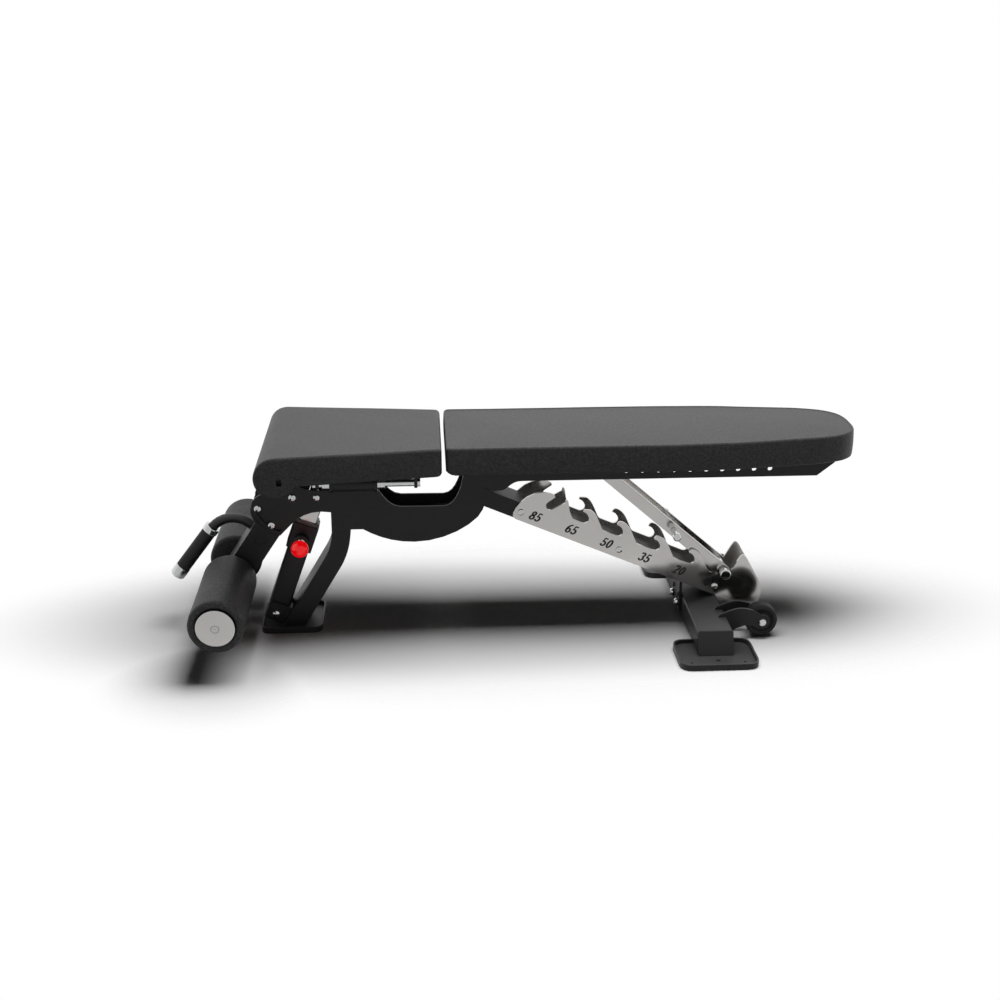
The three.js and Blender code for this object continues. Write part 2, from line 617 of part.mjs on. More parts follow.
// One ladder plate: round notches under hooked teeth, a covered slot for the steepest
// setting and a broad rounded tail with a spare open notch.
function ladderOutline() {
  const marks = LADDER_ANGLES.map(notchDistance);
  const r = NOTCH_RADIUS;
  const shape = new THREE.Shape();
  // tail, from the lower edge round to the tall stop behind the flat notch
  shape.moveTo(76, -SPINE_BOTTOM);
  shape.quadraticCurveTo(102, -SPINE_BOTTOM, 102, -31);
  shape.bezierCurveTo(102, -8, 92, 4, 80, 14);
  shape.lineTo(38, 46);
  shape.quadraticCurveTo(26, 57, 19.5, 54.7);
  shape.quadraticCurveTo(15.5, 52, 14, 29.5);
  shape.lineTo(r, 0);
  shape.absarc(0, 0, r, 0, -Math.PI / 2, true);
  // hooked teeth, climbing towards the front
  marks.slice(1, -1).forEach((mark) => {
    const at = (along, up) => [along - mark, up];
    shape.lineTo(...at(55, -r));
    shape.quadraticCurveTo(...at(50.5, -r), ...at(45.1, -5.1));
    shape.lineTo(...at(29.9, 9.5));
    shape.bezierCurveTo(...at(22, 17.5), ...at(14, 22.5), ...at(4, 24.5));
    shape.quadraticCurveTo(...at(-3, 25.5), ...at(-6.5, 23.7));
    shape.quadraticCurveTo(...at(-10.8, 20.5), ...at(-9.6, 14));
    shape.quadraticCurveTo(...at(0, 15.2), ...at(r * Math.cos(0.9), r * Math.sin(0.9)));
    shape.absarc(-mark, 0, r, 0.9, -Math.PI / 2, true);
  });
  // slot of the steepest setting under its rounded cover
  const steep = (along, up) => [along - marks[marks.length - 1], up];
  const lean = 54 * RAD;
  shape.lineTo(...steep(60, -r));
  shape.quadraticCurveTo(...steep(57, -9), ...steep(47, 1.4));
  shape.bezierCurveTo(...steep(39, 10), ...steep(34, 27), ...steep(27.9, 26.5));
  shape.quadraticCurveTo(...steep(24.5, 24), ...steep(28, 18.6));
  shape.lineTo(...steep(r * Math.sin(lean), -r * Math.cos(lean)));
  shape.absarc(...steep(0, 0), r, lean - Math.PI / 2, lean - 1.5 * Math.PI, true);
  shape.lineTo(...steep(1.4, 21.5));
  shape.quadraticCurveTo(...steep(0, 28), ...steep(-11, 27));
  shape.bezierCurveTo(...steep(-34, 25), ...steep(-56, 8), ...steep(-66, -20));
  shape.bezierCurveTo(...steep(-72, -38), ...steep(-74, -SPINE_BOTTOM), ...steep(-60, -SPINE_BOTTOM));
  shape.closePath();
  return shape;
}

const ladderBoltHoles = () => LADDER_BOLTS_AT.map((along) => drum(
  LADDER_BOLT + RUNNING, -60, 60, [along, -(SPINE_DROP + SPINE_BOTTOM) / 2], LADDER, 16,
));

// Room that the cross bar needs over the tip of the fifth tooth on its way to the steepest slot.
function barRoom() {
  const path = [67, 72, 77].map(barAt);
  const drop = (BAR_RADIUS + 0.6) / Math.cos(19 * RAD);
  const low = path.map(([along, up]) => [along, up - drop]);
  const high = path.map(([along, up]) => [along, up + 30]).reverse();
  const shape = new THREE.Shape([...low, ...high].map(([x, y]) => new THREE.Vector2(x, y)));
  return slab(shape, -FRAME_HALF - 1, FRAME_HALF + 1, LADDER);
}

function ladderPlate(name, side) {
  const y = side < 0 ? [-FRAME_HALF, -PLATE_IN] : [PLATE_IN, FRAME_HALF];
  const plate = slab(ladderOutline(), ...y, LADDER, 4);
  return piece(name, cut(plate, barRoom(), rearTubeRoom(), ...ladderBoltHoles()), SATIN_SILVER);
}

function ladderBolt(name, along) {
  const face = FRAME_HALF + CLEARANCE;
  const at = [along, -(SPINE_DROP + SPINE_BOTTOM) / 2];
  const shank = drum(LADDER_BOLT, -face, face, at, LADDER, 16);
  return piece(name, join(shank, bothSides((s) => buttonHead(at, s * face, s, 8, LADDER))), CHROME);
}

// ---------------------------------------------------------------- rear base

function rearCrossTube() {
  const outer = slab(rearTubeShape(0), -REAR_TUBE_HALF, REAR_TUBE_HALF);
  const inner = slab(rearTubeShape(-TUBE_WALL), -REAR_TUBE_HALF - 1, REAR_TUBE_HALF + 1);
  return piece('rear_cross_tube', cut(outer, inner), POWDER_BLACK);
}

function rearTubeCap(name, side) {
  const y = [side * (REAR_TUBE_HALF + CLEARANCE), side * (REAR_TUBE_HALF + 24)].sort((a, b) => a - b);
  const plug = [side * (REAR_TUBE_HALF - 12), side * (REAR_TUBE_HALF + 1)].sort((a, b) => a - b);
  const [c, s] = [Math.cos(REAR_CAP_LEAN * RAD), Math.sin(REAR_CAP_LEAN * RAD)];
  const beyond = new THREE.BoxGeometry(400, 100, 400);
  beyond.rotateX(side * REAR_CAP_LEAN * RAD);
  beyond.translate(REAR_TUBE_X[0], side * (REAR_TUBE_HALF + 3 + 50 * c), REAR_TUBE_TOP + 50 * s);
  const end = cut(slab(rearTubeShape(-0.2), ...y), solid(beyond));
  return piece(name, join(end, slab(rearTubeShape(-TUBE_WALL - 0.5), ...plug)), BLACK_PLASTIC);
}

function rearFoot(name, side) {
  const y = side < 0 ? [-REAR_FOOT_Y[1], -REAR_FOOT_Y[0]] : REAR_FOOT_Y;
  const edge = REAR_FOOT_Y[1] - 30;
  const holes = [
    floorHole(578, side * (REAR_FOOT_Y[1] - 38), 5),
    floorHole(REAR_FOOT_X[0] + 28, side * edge, 2.5),
    floorHole(REAR_FOOT_X[1] - 28, side * edge, 2.5),
  ];
  return piece(name, cut(footPan(REAR_FOOT_X, y, 28), rearTubeRoom(), ...holes), POWDER_BLACK);
}

function spineFlange() {
  const x = [REAR_TUBE_X[0] - CLEARANCE - 6, REAR_TUBE_X[0] - CLEARANCE];
  const plate = block(x, [-PLATE_IN, PLATE_IN], [14, 110]);
  const under = block([-700, 200], [-90, 90], [-SPINE_BOTTOM - CLEARANCE, 200], LADDER);
  return piece('spine_flange', join(cut(plate, under), flangeBolts()), POWDER_BLACK);
}

function flangeBolts() {
  const heads = [];
  for (const y of [-28, 28]) {
    for (const z of [30, 53]) {
      const profile = [[0, -1], [6.5, -1], [6.5, 0], [6, 2], [3.6, 3.6], [0, 3.6]].map(([r, h]) => new THREE.Vector2(r, h));
      const geometry = new THREE.LatheGeometry(profile, 18);
      geometry.rotateZ(Math.PI / 2);
      geometry.translate(REAR_TUBE_X[0] - CLEARANCE - 6, y, z);
      heads.push(solid(geometry));
    }
  }
  return join(...heads);
}

// Bracket cheeks sweep back from the cross tube and end in a round boss for the wheel.
function wheelBracket(name, side) {
  const [wx, wz] = WHEEL_CENTRE;
  const shape = new THREE.Shape();
  shape.moveTo(598, REAR_TUBE_TOP + CLEARANCE);
  shape.quadraticCurveTo(598, 61, 606, 63.5);
  shape.bezierCurveTo(622, 69.5, 634, 75.5, 648, 75);
  shape.bezierCurveTo(664, 74.5, 680, 68, wx - 3, wz + WHEEL_BOSS - 0.3);
  shape.absarc(wx, wz, WHEEL_BOSS, 100 * RAD, -130 * RAD, true);
  shape.quadraticCurveTo(668, 37, 654.4, 32.8);
  shape.quadraticCurveTo(638, 27, REAR_TUBE_X[1] + CLEARANCE, 17);
  shape.lineTo(REAR_TUBE_X[1] + CLEARANCE, REAR_TUBE_TOP + CLEARANCE);
  shape.closePath();
  const near = [WHEEL_Y[0] - 2 - PLATE, WHEEL_Y[1] + 2];
  const between = (low, high) => [side * low, side * high].sort((a, b) => a - b);
  const cheeks = near.map((low) => slab(shape, ...between(low, low + PLATE)));
  const back = block([REAR_TUBE_X[1] + CLEARANCE, REAR_TUBE_X[1] + SHEET], between(near[0] + 1, near[1] + 1), [20, 50]);
  const axle = drum(WHEEL_AXLE, ...between(near[0] + 1, near[1] + 1), WHEEL_CENTRE, undefined, 20);
  const heads = [near[0] + CLEARANCE, near[1] + PLATE - CLEARANCE].map((at, i) => (
    buttonHead(WHEEL_CENTRE, side * at, side * (i === 0 ? -1 : 1), 10)
  ));
  return piece(name, cut(join(...cheeks, back, axle, ...heads), rearTubeRoom()), POWDER_BLACK);
}



function wheel(name, side) {
  const h = (WHEEL_Y[1] - WHEEL_Y[0]) / 2;
  const bore = WHEEL_AXLE + RUNNING;
  const profile = [
    [bore, -h], [12, -h], [14, 4 - h], [24, 4 - h], [26, -h], [WHEEL_RADIUS - 4, -h],
    [WHEEL_RADIUS, 4 - h], [WHEEL_RADIUS, h - 4], [WHEEL_RADIUS - 4, h], [26, h],
    [24, h - 4], [14, h - 4], [12, h], [bore, h], [bore, -h],
  ];
  const middle = side * (WHEEL_Y[0] + WHEEL_Y[1]) / 2;
  return piece(name, turned(profile, WHEEL_CENTRE, middle, 1, undefined, 24), RUBBER);
}

// ---------------------------------------------------------------- back rest

function backPad() {
  const i = PAD_EDGE;
  const half = BACK_WIDTH / 2 - i;
  const front = BACK_FRONT + i;
  const end = BACK_FRONT + BACK_LENGTH - i;
  const corner = 6;
  const shape = new THREE.Shape();
  shape.moveTo(end, 0);
  shape.bezierCurveTo(end, 48, 880, 76, 862, 82);
  shape.bezierCurveTo(820, 104, 740, 113, 690, 122);
  shape.bezierCurveTo(620, 132, 540, half, BACK_TAPER_START, half);
  shape.lineTo(front + corner, half);
  shape.quadraticCurveTo(front, half, front, half - corner);
  shape.lineTo(front, corner - half);
  shape.quadraticCurveTo(front, -half, front + corner, -half);
  shape.lineTo(BACK_TAPER_START, -half);
  shape.bezierCurveTo(540, -half, 620, -132, 690, -122);
  shape.bezierCurveTo(740, -113, 820, -104, 862, -82);
  shape.bezierCurveTo(880, -76, end, -48, end, 0);
  const geometry = new THREE.ExtrudeGeometry(shape, {
    depth: BACK_DEPTH - 2 * i, bevelThickness: i, bevelSize: i, bevelSegments: 2, curveSegments: 6,
  });
  geometry.translate(0, 0, BACK_UNDER + i);
  const [run, rise] = BACK_CHAMFER;
  const chamfer = slab(rounded([
    [BACK_FRONT - 5, BACK_UNDER - 5], [BACK_FRONT + run, BACK_UNDER - 5], [BACK_FRONT + run, BACK_UNDER],
    [BACK_FRONT, BACK_UNDER + rise], [BACK_FRONT - 5, BACK_UNDER + rise],
  ]), -200, 200);
  return piece('back_pad', cut(solid(geometry), chamfer), VINYL);
}

const BOARD_TOP = BACK_UNDER - CLEARANCE;
const BOARD_UNDER = BOARD_TOP - 4.7;
const RAIL_OUT = FRAME_HALF + 0.6 + PLATE;
const RAIL_IN = FRAME_HALF + 0.6;
const RAIL_UNDER = 341;
const RAIL_END = 862;

function backBoard() {
  const end = BACK_FRONT + BACK_LENGTH - 30;
  const front = BACK_HINGE[0] + 4;
  const shape = rounded([
    [front, -120, 14], [BACK_TAPER_START, -120, 60], [end - 60, -76, 40], [end, -30, 30],
    [end, 30, 30], [end - 60, 76, 40], [BACK_TAPER_START, 120, 60], [front, 120, 14],
  ]);
  return piece('back_board', raise(shape, BOARD_UNDER, BOARD_TOP, undefined, 4), BLACK_PLASTIC);
}

function backRail(side) {
  const top = BOARD_UNDER - CLEARANCE;
  const [hx, hz] = BACK_HINGE;
  const eye = 17;
  const shape = new THREE.Shape();
  shape.moveTo(hx, top);
  shape.lineTo(RAIL_END, top);
  shape.lineTo(RAIL_END, 371);
  shape.lineTo(RAIL_END - 38, RAIL_UNDER);
  shape.lineTo(170, RAIL_UNDER);
  shape.bezierCurveTo(146, RAIL_UNDER, 140, 322, 126, 320);
  shape.lineTo(104, 320);
  shape.bezierCurveTo(92, 320, 84, 352, hx + 2, hz - eye);
  shape.absarc(hx, hz, eye, -Math.PI / 2, Math.PI / 2, true);
  shape.closePath();
  const y = side < 0 ? [-RAIL_OUT, -RAIL_IN] : [RAIL_IN, RAIL_OUT];
  const over = [y[0] - 1, y[1] + 1];
  const holes = [];
  for (let i = 0; i < RAIL_HOLES; i += 1) {
    holes.push(drum(5.5, ...over, [RAIL_HOLE_FROM + i * RAIL_HOLE_PITCH, 359], undefined, 10));
  }
  return cut(
    slab(shape, ...y, undefined, 8), ...holes,
    drum(HINGE_BOLT + RUNNING, ...over, BACK_HINGE),
    drum(ARM_BOLT + RUNNING, ...over, ARM_PIVOT),
  );
}

const RAIL_HOLES = 10;
const RAIL_HOLE_FROM = 401;
const RAIL_HOLE_PITCH = 35.3;

// Two side rails tied by three flat cross plates, one weldment.
function backFrame() {
  const top = BOARD_UNDER - CLEARANCE;
  const spans = [[118, 178], [430, 490], [760, 820]];
  const flats = spans.map((x) => block(x, [-RAIL_IN - 1, RAIL_IN + 1], [top - SHEET, top]));
  return piece('back_frame', join(backRail(-1), backRail(1), ...flats), POWDER_BLACK);
}

function hingeBolt(name, point, radius, face, head) {
  const shank = drum(radius, -face, face, point, undefined, 24);
  return piece(name, join(shank, bothSides((s) => buttonHead(point, s * face, s, head))), CHROME);
}

// ---------------------------------------------------------------- strut

const ARM_DROP = Math.atan2(ARM_PIVOT[1] - BAR_SEAT[1], BAR_SEAT[0] - ARM_PIVOT[0]) / RAD;
const STRUT = frameAt(ARM_PIVOT, ARM_DROP);
const LIFT_BAR_AT = ARM_LENGTH - LIFT_BAR_UP;

function supportArm(name, side) {
  const h = ARM_WIDTH / 2;
  const shape = new THREE.Shape();
  shape.absarc(0, 0, h + 1, Math.PI / 2, 1.5 * Math.PI, false);
  shape.absarc(ARM_LENGTH, 0, h + 2, -Math.PI / 2, Math.PI / 2, false);
  shape.closePath();
  const y = side < 0 ? [-ARM_OUT, -ARM_IN] : [ARM_IN, ARM_OUT];
  const over = [y[0] - 1, y[1] + 1];
  const arm = cut(
    slab(shape, ...y, STRUT),
    drum(ARM_BOLT + RUNNING, ...over, [0, 0], STRUT),
    drum(BAR_RADIUS + CLEARANCE, ...over, [ARM_LENGTH, 0], STRUT),
    drum(LIFT_BAR_RADIUS + CLEARANCE, ...over, [LIFT_BAR_AT, 0], STRUT),
  );
  return piece(name, arm, SATIN_SILVER);
}


const CAP_FROM = FRAME_HALF + 5.7;

function crossBar() {
  const r = BAR_CAP_RADIUS;
  const l = CAP_FROM - FRAME_HALF - 1 + BAR_CAP_LENGTH;
  const end = [[0, 0], [r, 0], [r, l - 2], [r - 2, l], [0, l]];
  const caps = bothSides((s) => turned(end, [ARM_LENGTH, 0], s * (FRAME_HALF + 1), s, STRUT));
  return piece('strut_cross_bar', join(drum(BAR_RADIUS, -CAP_FROM, CAP_FROM, [ARM_LENGTH, 0], STRUT), caps), CHROME);
}


function liftBar() {
  const r = 9;
  const bar = drum(LIFT_BAR_RADIUS, 12 - LIFT_BAR_HALF, LIFT_BAR_HALF - 12, [LIFT_BAR_AT, 0], STRUT, 20);
  const end = [[0, 0], [r - 2, 0], [r, 2], [r, 12], [r - 3, 15], [0, 15]];
  const ends = bothSides((s) => turned(end, [LIFT_BAR_AT, 0], s * (LIFT_BAR_HALF - 15), s, STRUT, 24));
  return piece('strut_lift_bar', join(bar, ends), CHROME);
}

// ---------------------------------------------------------------- seat carrier and seat

const CARRIER_OUT = PLATE_IN - 0.8;
const CARRIER_REAR = -112;
const CARRIER_UNDER = 342;

function seatCarrier() {
  const [sx, sz] = SEAT_AXLE;
  const eye = 13;
  const shape = new THREE.Shape();
  shape.moveTo(CARRIER_REAR, BEAM_TOP + SHEET);
  shape.lineTo(CARRIER_REAR, CARRIER_UNDER + 8);
  shape.quadraticCurveTo(CARRIER_REAR - 20, CARRIER_UNDER, CARRIER_REAR - 60, CARRIER_UNDER);
  shape.lineTo(-296, CARRIER_UNDER);
  shape.bezierCurveTo(-330, CARRIER_UNDER, sx - eye, 368, sx - eye, sz);
  shape.absarc(sx, sz, eye, Math.PI, 0, true);
  shape.bezierCurveTo(sx + eye, 380, -320, BEAM_TOP + SHEET, -300, BEAM_TOP + SHEET);
  shape.closePath();
  const walls = bothSides((s) => {
    const y = [s * CARRIER_OUT, s * (CARRIER_OUT - SHEET)].sort((a, b) => a - b);
    return slab(shape, ...y);
  });
  const top = block([-300, CARRIER_REAR], [-CARRIER_OUT, CARRIER_OUT], [BEAM_TOP, BEAM_TOP + SHEET]);
  const wing = block([HOUSING_SPAN[0], -204], [-ROD_Y, ROD_Y], [BEAM_TOP, BEAM_TOP + SHEET]);
  const barrel = drum(eye, -CARRIER_OUT, CARRIER_OUT, SEAT_AXLE);
  const housings = bothSides((s) => join(
    barX(HOUSING_RADIUS, HOUSING_SPAN, s * ROD_Y, ROD_Z),
    barX(HOUSING_FLANGE, [HOUSING_SPAN[0], HOUSING_SPAN[0] + 6], s * ROD_Y, ROD_Z),
    barX(HOUSING_FLANGE, [HOUSING_SPAN[1] - 6, HOUSING_SPAN[1]], s * ROD_Y, ROD_Z),
  ));
  const bores = bothSides((s) => barX(BUSH_RADIUS + CLEARANCE, [-260, -130], s * ROD_Y, ROD_Z));
  const axleBore = drum(SEAT_AXLE_RADIUS + RUNNING, -60, 60, SEAT_AXLE);
  return piece('seat_carrier', cut(join(walls, top, wing, barrel, housings), bores, axleBore), POWDER_BLACK);
}

function slideBush(name, side) {
  const x = [HOUSING_SPAN[0] - BUSH_LENGTH, HOUSING_SPAN[1] + BUSH_LENGTH];
  const y = side * ROD_Y;
  const tube = barX(BUSH_RADIUS, x, y, ROD_Z);
  return piece(name, cut(tube, barX(ROD_RADIUS + RUNNING, [x[0] - 1, x[1] + 1], y, ROD_Z)), CHROME);
}

function slideRod(name, side) {
  const y = side * ROD_Y;
  const nut = (x) => barX(9.5, x, y, ROD_Z, undefined, 6);
  const bar = barX(ROD_RADIUS, [ROD_SPAN[0] - 1, ROD_SPAN[1] + 1], y, ROD_Z);
  const nuts = [
    nut([ROD_SPAN[0] - CLEARANCE - 6, ROD_SPAN[0] - CLEARANCE]),
    nut([ROD_SPAN[1] + CLEARANCE, ROD_SPAN[1] + CLEARANCE + 6]),
  ];
  return piece(name, join(bar, ...nuts), CHROME);
}

const PAN_FRONT = -282;
const PAN_REAR = -34;
const panTop = (x) => seatUnder(x) - CLEARANCE;
const panUnder = (x) => panTop(x) - SHEET;

function seatPan() {
  const side = slab(rounded([
    [PAN_FRONT, panUnder(PAN_FRONT)], [PAN_REAR, panUnder(PAN_REAR)],
    [PAN_REAR, panTop(PAN_REAR)], [PAN_FRONT, panTop(PAN_FRONT)],
  ]), -112, 112);
  return piece('seat_pan', join(cut(side, lugRoom()), rodBrackets()), POWDER_BLACK);
}

function rodBrackets() {
  const make = (s) => ROD_SPAN.map((x, i) => {
    const span = i === 0 ? [x, x + 7] : [x - 7, x];
    const y = s * ROD_Y;
    const plate = block(span, [y - 12, y + 12], [ROD_Z, panUnder(span[0]) + 1]);
    const eye = barX(12, span, y, ROD_Z);
    return cut(join(plate, eye), barX(ROD_RADIUS + CLEARANCE, [span[0] - 1, span[1] + 1], y, ROD_Z));
  });
  return join(...make(-1), ...make(1));
}


function seatPad() {
  const centre = [SEAT_FRONT + SEAT_ROLL, PAD_TOP - SEAT_ROLL];
  const under = centre[0] + SEAT_ROLL + 3;
  const profile = new THREE.Shape();
  profile.moveTo(SEAT_REAR, PAD_TOP - PAD_EDGE);
  profile.quadraticCurveTo(SEAT_REAR, PAD_TOP, SEAT_REAR - PAD_EDGE, PAD_TOP);
  profile.lineTo(centre[0], PAD_TOP);
  profile.absarc(...centre, SEAT_ROLL, Math.PI / 2, 2 * Math.PI - 0.75, false);
  profile.quadraticCurveTo(centre[0] + SEAT_ROLL * 0.8, seatUnder(under), under, seatUnder(under));
  profile.lineTo(SEAT_REAR - PAD_EDGE, seatUnder(SEAT_REAR - PAD_EDGE));
  profile.quadraticCurveTo(SEAT_REAR, seatUnder(SEAT_REAR), SEAT_REAR, seatUnder(SEAT_REAR) + PAD_EDGE);
  profile.closePath();
  const front = SEAT_FRONT_WIDTH / 2;
  const rear = SEAT_REAR_WIDTH / 2;
  const plan = rounded([
    [SEAT_FRONT - 1, -front, 10], [SEAT_REAR + 1, -rear, 10], [SEAT_REAR + 1, rear, 10], [SEAT_FRONT - 1, front, 10],
  ]);
  const body = slab(profile, -front, front, undefined, 7).intersect(raise(plan, 300, PAD_TOP + 10, undefined, 3));
  return piece('seat_pad', cut(body, lugRoom()), VINYL);
}

// Room for the side plates' lugs, which stand still while the seat slides and tilts.
const lugRoom = () => block(
  [SEAT_AXLE[0] - 19, SEAT_AXLE[0] + 29 + SEAT_TRAVEL],
  [-FRAME_HALF - 3.5, FRAME_HALF + 3.5], [300, SEAT_AXLE[1] + 18],
);

// ---------------------------------------------------------------- roller holder

const HOLDER = frameAt(HOLDER_PIVOT, 360 - HOLDER_ANGLE);

const holderOutline = (from) => rounded([
  [from, HOLDER_EDGES[0], 0], [ROLLER_AT[0] + 26, HOLDER_EDGES[0], 26],
  [ROLLER_AT[0] + 26, HOLDER_EDGES[1], 26], [from, HOLDER_EDGES[1], 0],
]);

function rollerHolder() {
  const out = PLATE_IN - 0.5;
  const body = holderOutline(NOSE_RADIUS - 20);
  const cheek = rounded([
    [-22, -24, 22], [46, -64, 14], [80, -62, 14], [100, -30, 8], [110, 0, 0], [104, HOLDER_EDGES[1] - 1, 0],
    [30, HOLDER_EDGES[1] - 1, 20], [-22, 22, 20],
  ]);
  const across = drum(NOSE_RADIUS + 0.8, -60, 60, [0, 0], HOLDER, 40);
  const cheeks = bothSides((s) => {
    const thin = [s * out, s * (out - PLATE)].sort((a, b) => a - b);
    const thick = [s * FRAME_HALF, s * (out - 1)].sort((a, b) => a - b);
    return join(
      slab(body, ...thin, HOLDER, 4),
      slab(cheek, ...thin, HOLDER, 4),
      cut(slab(body, ...thick, HOLDER, 4), across),
    );
  });
  const web = block([NOSE_RADIUS + 5, ROLLER_AT[0]], [1 - out, out - 1], [HOLDER_EDGES[0], HOLDER_EDGES[0] + PLATE], HOLDER);
  const bridge = drum(BRIDGE_RADIUS, 1 - out, out - 1, BRIDGE_AT, HOLDER);
  const hollow = drum(BRIDGE_RADIUS - TUBE_WALL, -60, 60, BRIDGE_AT, HOLDER);
  const lids = bothSides((s) => {
    const y = [s * (out - PLATE), s * (FRAME_HALF - 2)].sort((a, b) => a - b);
    return drum(BRIDGE_RADIUS, ...y, BRIDGE_AT, HOLDER);
  });
  const screwHoles = SLOT_SCREWS.map((a) => drum(4 + RUNNING, -60, 60, turn([SLOT_RADIUS, 0], a - HOLDER_ANGLE), HOLDER, 16));
  const whole = cut(
    join(cheeks, web, bridge),
    ...screwHoles,
    drum(HOLDER_BOLT + RUNNING, -60, 60, [0, 0], HOLDER),
    drum(ROLLER_TUBE + CLEARANCE, -60, 60, ROLLER_AT, HOLDER),
    handleStem(HANDLE_TUBE + CLEARANCE),
  );
  return piece('roller_holder', cut(join(cut(whole, hollow), cut(lids, handleStem(HANDLE_TUBE + CLEARANCE)))), POWDER_BLACK);
}

const bridgePoint = () => {
  const arm = turn(BRIDGE_AT, HOLDER_ANGLE);
  return [HOLDER_PIVOT[0] + arm[0], HOLDER_PIVOT[1] + arm[1]];
};

// The handle's stem leaves the bridge tube, bends over and runs down in front of the holder.
function handleStem(radius) {
  const geometry = new THREE.CylinderGeometry(radius, radius, 60, 24);
  geometry.rotateZ(-Math.PI / 2);
  geometry.translate(30 + BRIDGE_RADIUS - 6, 0, 0);
  return solid(geometry, frameAt(bridgePoint(), -HANDLE_LEAVES));
}

function handlePath() {
  const [bx, bz] = bridgePoint();
  const out = turn([1, 0], HANDLE_LEAVES);
  const at = (reach) => [bx + out[0] * reach, bz + out[1] * reach];
  const start = at(HANDLE_STEM);
  const centre = [start[0] - out[1] * HANDLE_BEND, start[1] + out[0] * HANDLE_BEND];
  const points = [at(BRIDGE_RADIUS - 4), start];
  const steps = 8;
  for (let i = 1; i <= steps; i += 1) {
    const spoke = turn([HANDLE_BEND, 0], HANDLE_LEAVES - 90 + i * HANDLE_TURN / steps);
    points.push([centre[0] + spoke[0], centre[1] + spoke[1]]);
  }
  return points;
}

const GRIP_ANGLE = HANDLE_LEAVES + HANDLE_TURN;
const gripFrame = () => {
  const points = handlePath();
  return frameAt(points[points.length - 1], -GRIP_ANGLE);
};

function handleTube() {
  const points = handlePath();
  const run = turn([HANDLE_STRAIGHT - 6, 0], GRIP_ANGLE);
  const last = points[points.length - 1];
  points.push([last[0] + run[0], last[1] + run[1]]);
  const line = points.map(([x, z]) => new THREE.Vector3(x, 0, z));
  const top = HANDLE_STRAIGHT - 9 - HANDLE_GRIP_LENGTH;
  const collar = barX(HANDLE_GRIP - 0.5, [top - 5, top - CLEARANCE], 0, 0, gripFrame(), 20);
  return piece('handle_tube', join(sweepPolyline(line, HANDLE_TUBE), collar), POWDER_BLACK);
}

function handleGrip() {
  const to = HANDLE_STRAIGHT - 9;
  const x = [to - HANDLE_GRIP_LENGTH, to];
  const body = barX(HANDLE_GRIP, x, 0, 0, gripFrame(), 20);
  const bore = barX(HANDLE_TUBE + CLEARANCE, [x[0] - 1, x[1] + 1], 0, 0, gripFrame(), 20);
  return piece('handle_grip', cut(body, bore), RUBBER);
}

function handleCap() {
  const from = HANDLE_STRAIGHT - 9 + CLEARANCE;
  const bore = barX(HANDLE_TUBE + CLEARANCE, [0, HANDLE_STRAIGHT - 5.7], 0, 0, gripFrame(), 20);
  return piece('handle_end_cap', cut(barX(HANDLE_GRIP - 0.5, [from, HANDLE_STRAIGHT], 0, 0, gripFrame(), 20), bore), CHROME);
}

// A round bar along a planar run of points, mitred at each one.
function sweepPolyline(points, radius, frame, sides = 14) {
  const rings = points.map((p, i) => {
    const a = points[Math.max(i - 1, 0)];
    const b = points[Math.min(i + 1, points.length - 1)];
    const along = b.clone().sub(a).normalize();
    const across = new THREE.Vector3(0, 1, 0);
    const up = new THREE.Vector3().crossVectors(along, across);
    return Array.from({ length: sides }, (_, k) => {
      const t = (k / sides) * 2 * Math.PI;
      return p.clone().addScaledVector(across, radius * Math.cos(t)).addScaledVector(up, radius * Math.sin(t));
    });
  });
  const position = [];
  const push = (...corners) => corners.forEach((c) => position.push(c.x, c.y, c.z));
  for (let i = 0; i < rings.length - 1; i += 1) {
    for (let k = 0; k < sides; k += 1) {
      const n = (k + 1) % sides;
      push(rings[i][k], rings[i + 1][n], rings[i + 1][k]);
      push(rings[i][k], rings[i][n], rings[i + 1][n]);
    }
  }
  for (let k = 0; k < sides; k += 1) {
    const n = (k + 1) % sides;
    push(points[0], rings[0][n], rings[0][k]);
    push(points[points.length - 1], rings[rings.length - 1][k], rings[rings.length - 1][n]);
  }
  const geometry = new THREE.BufferGeometry();
  geometry.setAttribute('position', new THREE.Float32BufferAttribute(position, 3));
  geometry.computeVertexNormals();
  return solid(geometry, frame);
}

function slotScrew(name, angle) {
  const face = FRAME_HALF + CLEARANCE;
  const at = turn([SLOT_RADIUS, 0], angle - HOLDER_ANGLE);
  const shank = drum(4, -face, face, at, HOLDER, 16);
  return piece(name, join(shank, bothSides((s) => buttonHead(at, s * face, s, 8.5, HOLDER))), CHROME);
}

// ---------------------------------------------------------------- rollers

function rollerTube() {
  const end = ROLLER_Y[1] - 1;
  const tube = cut(
    drum(ROLLER_TUBE, -end, end, ROLLER_AT, HOLDER),
    drum(ROLLER_TUBE - TUBE_WALL, -end - 1, end + 1, ROLLER_AT, HOLDER),
  );
  const rings = bothSides((s) => {
    const y = [s * (FRAME_HALF + CLEARANCE), s * (ROLLER_Y[0] - 1)].sort((a, b) => a - b);
    return cut(drum(ROLLER_TUBE + 5, ...y, ROLLER_AT, HOLDER), drum(ROLLER_TUBE - 1, y[0] - 1, y[1] + 1, ROLLER_AT, HOLDER));
  });
  return piece('roller_tube', join(tube, rings), CHROME);
}

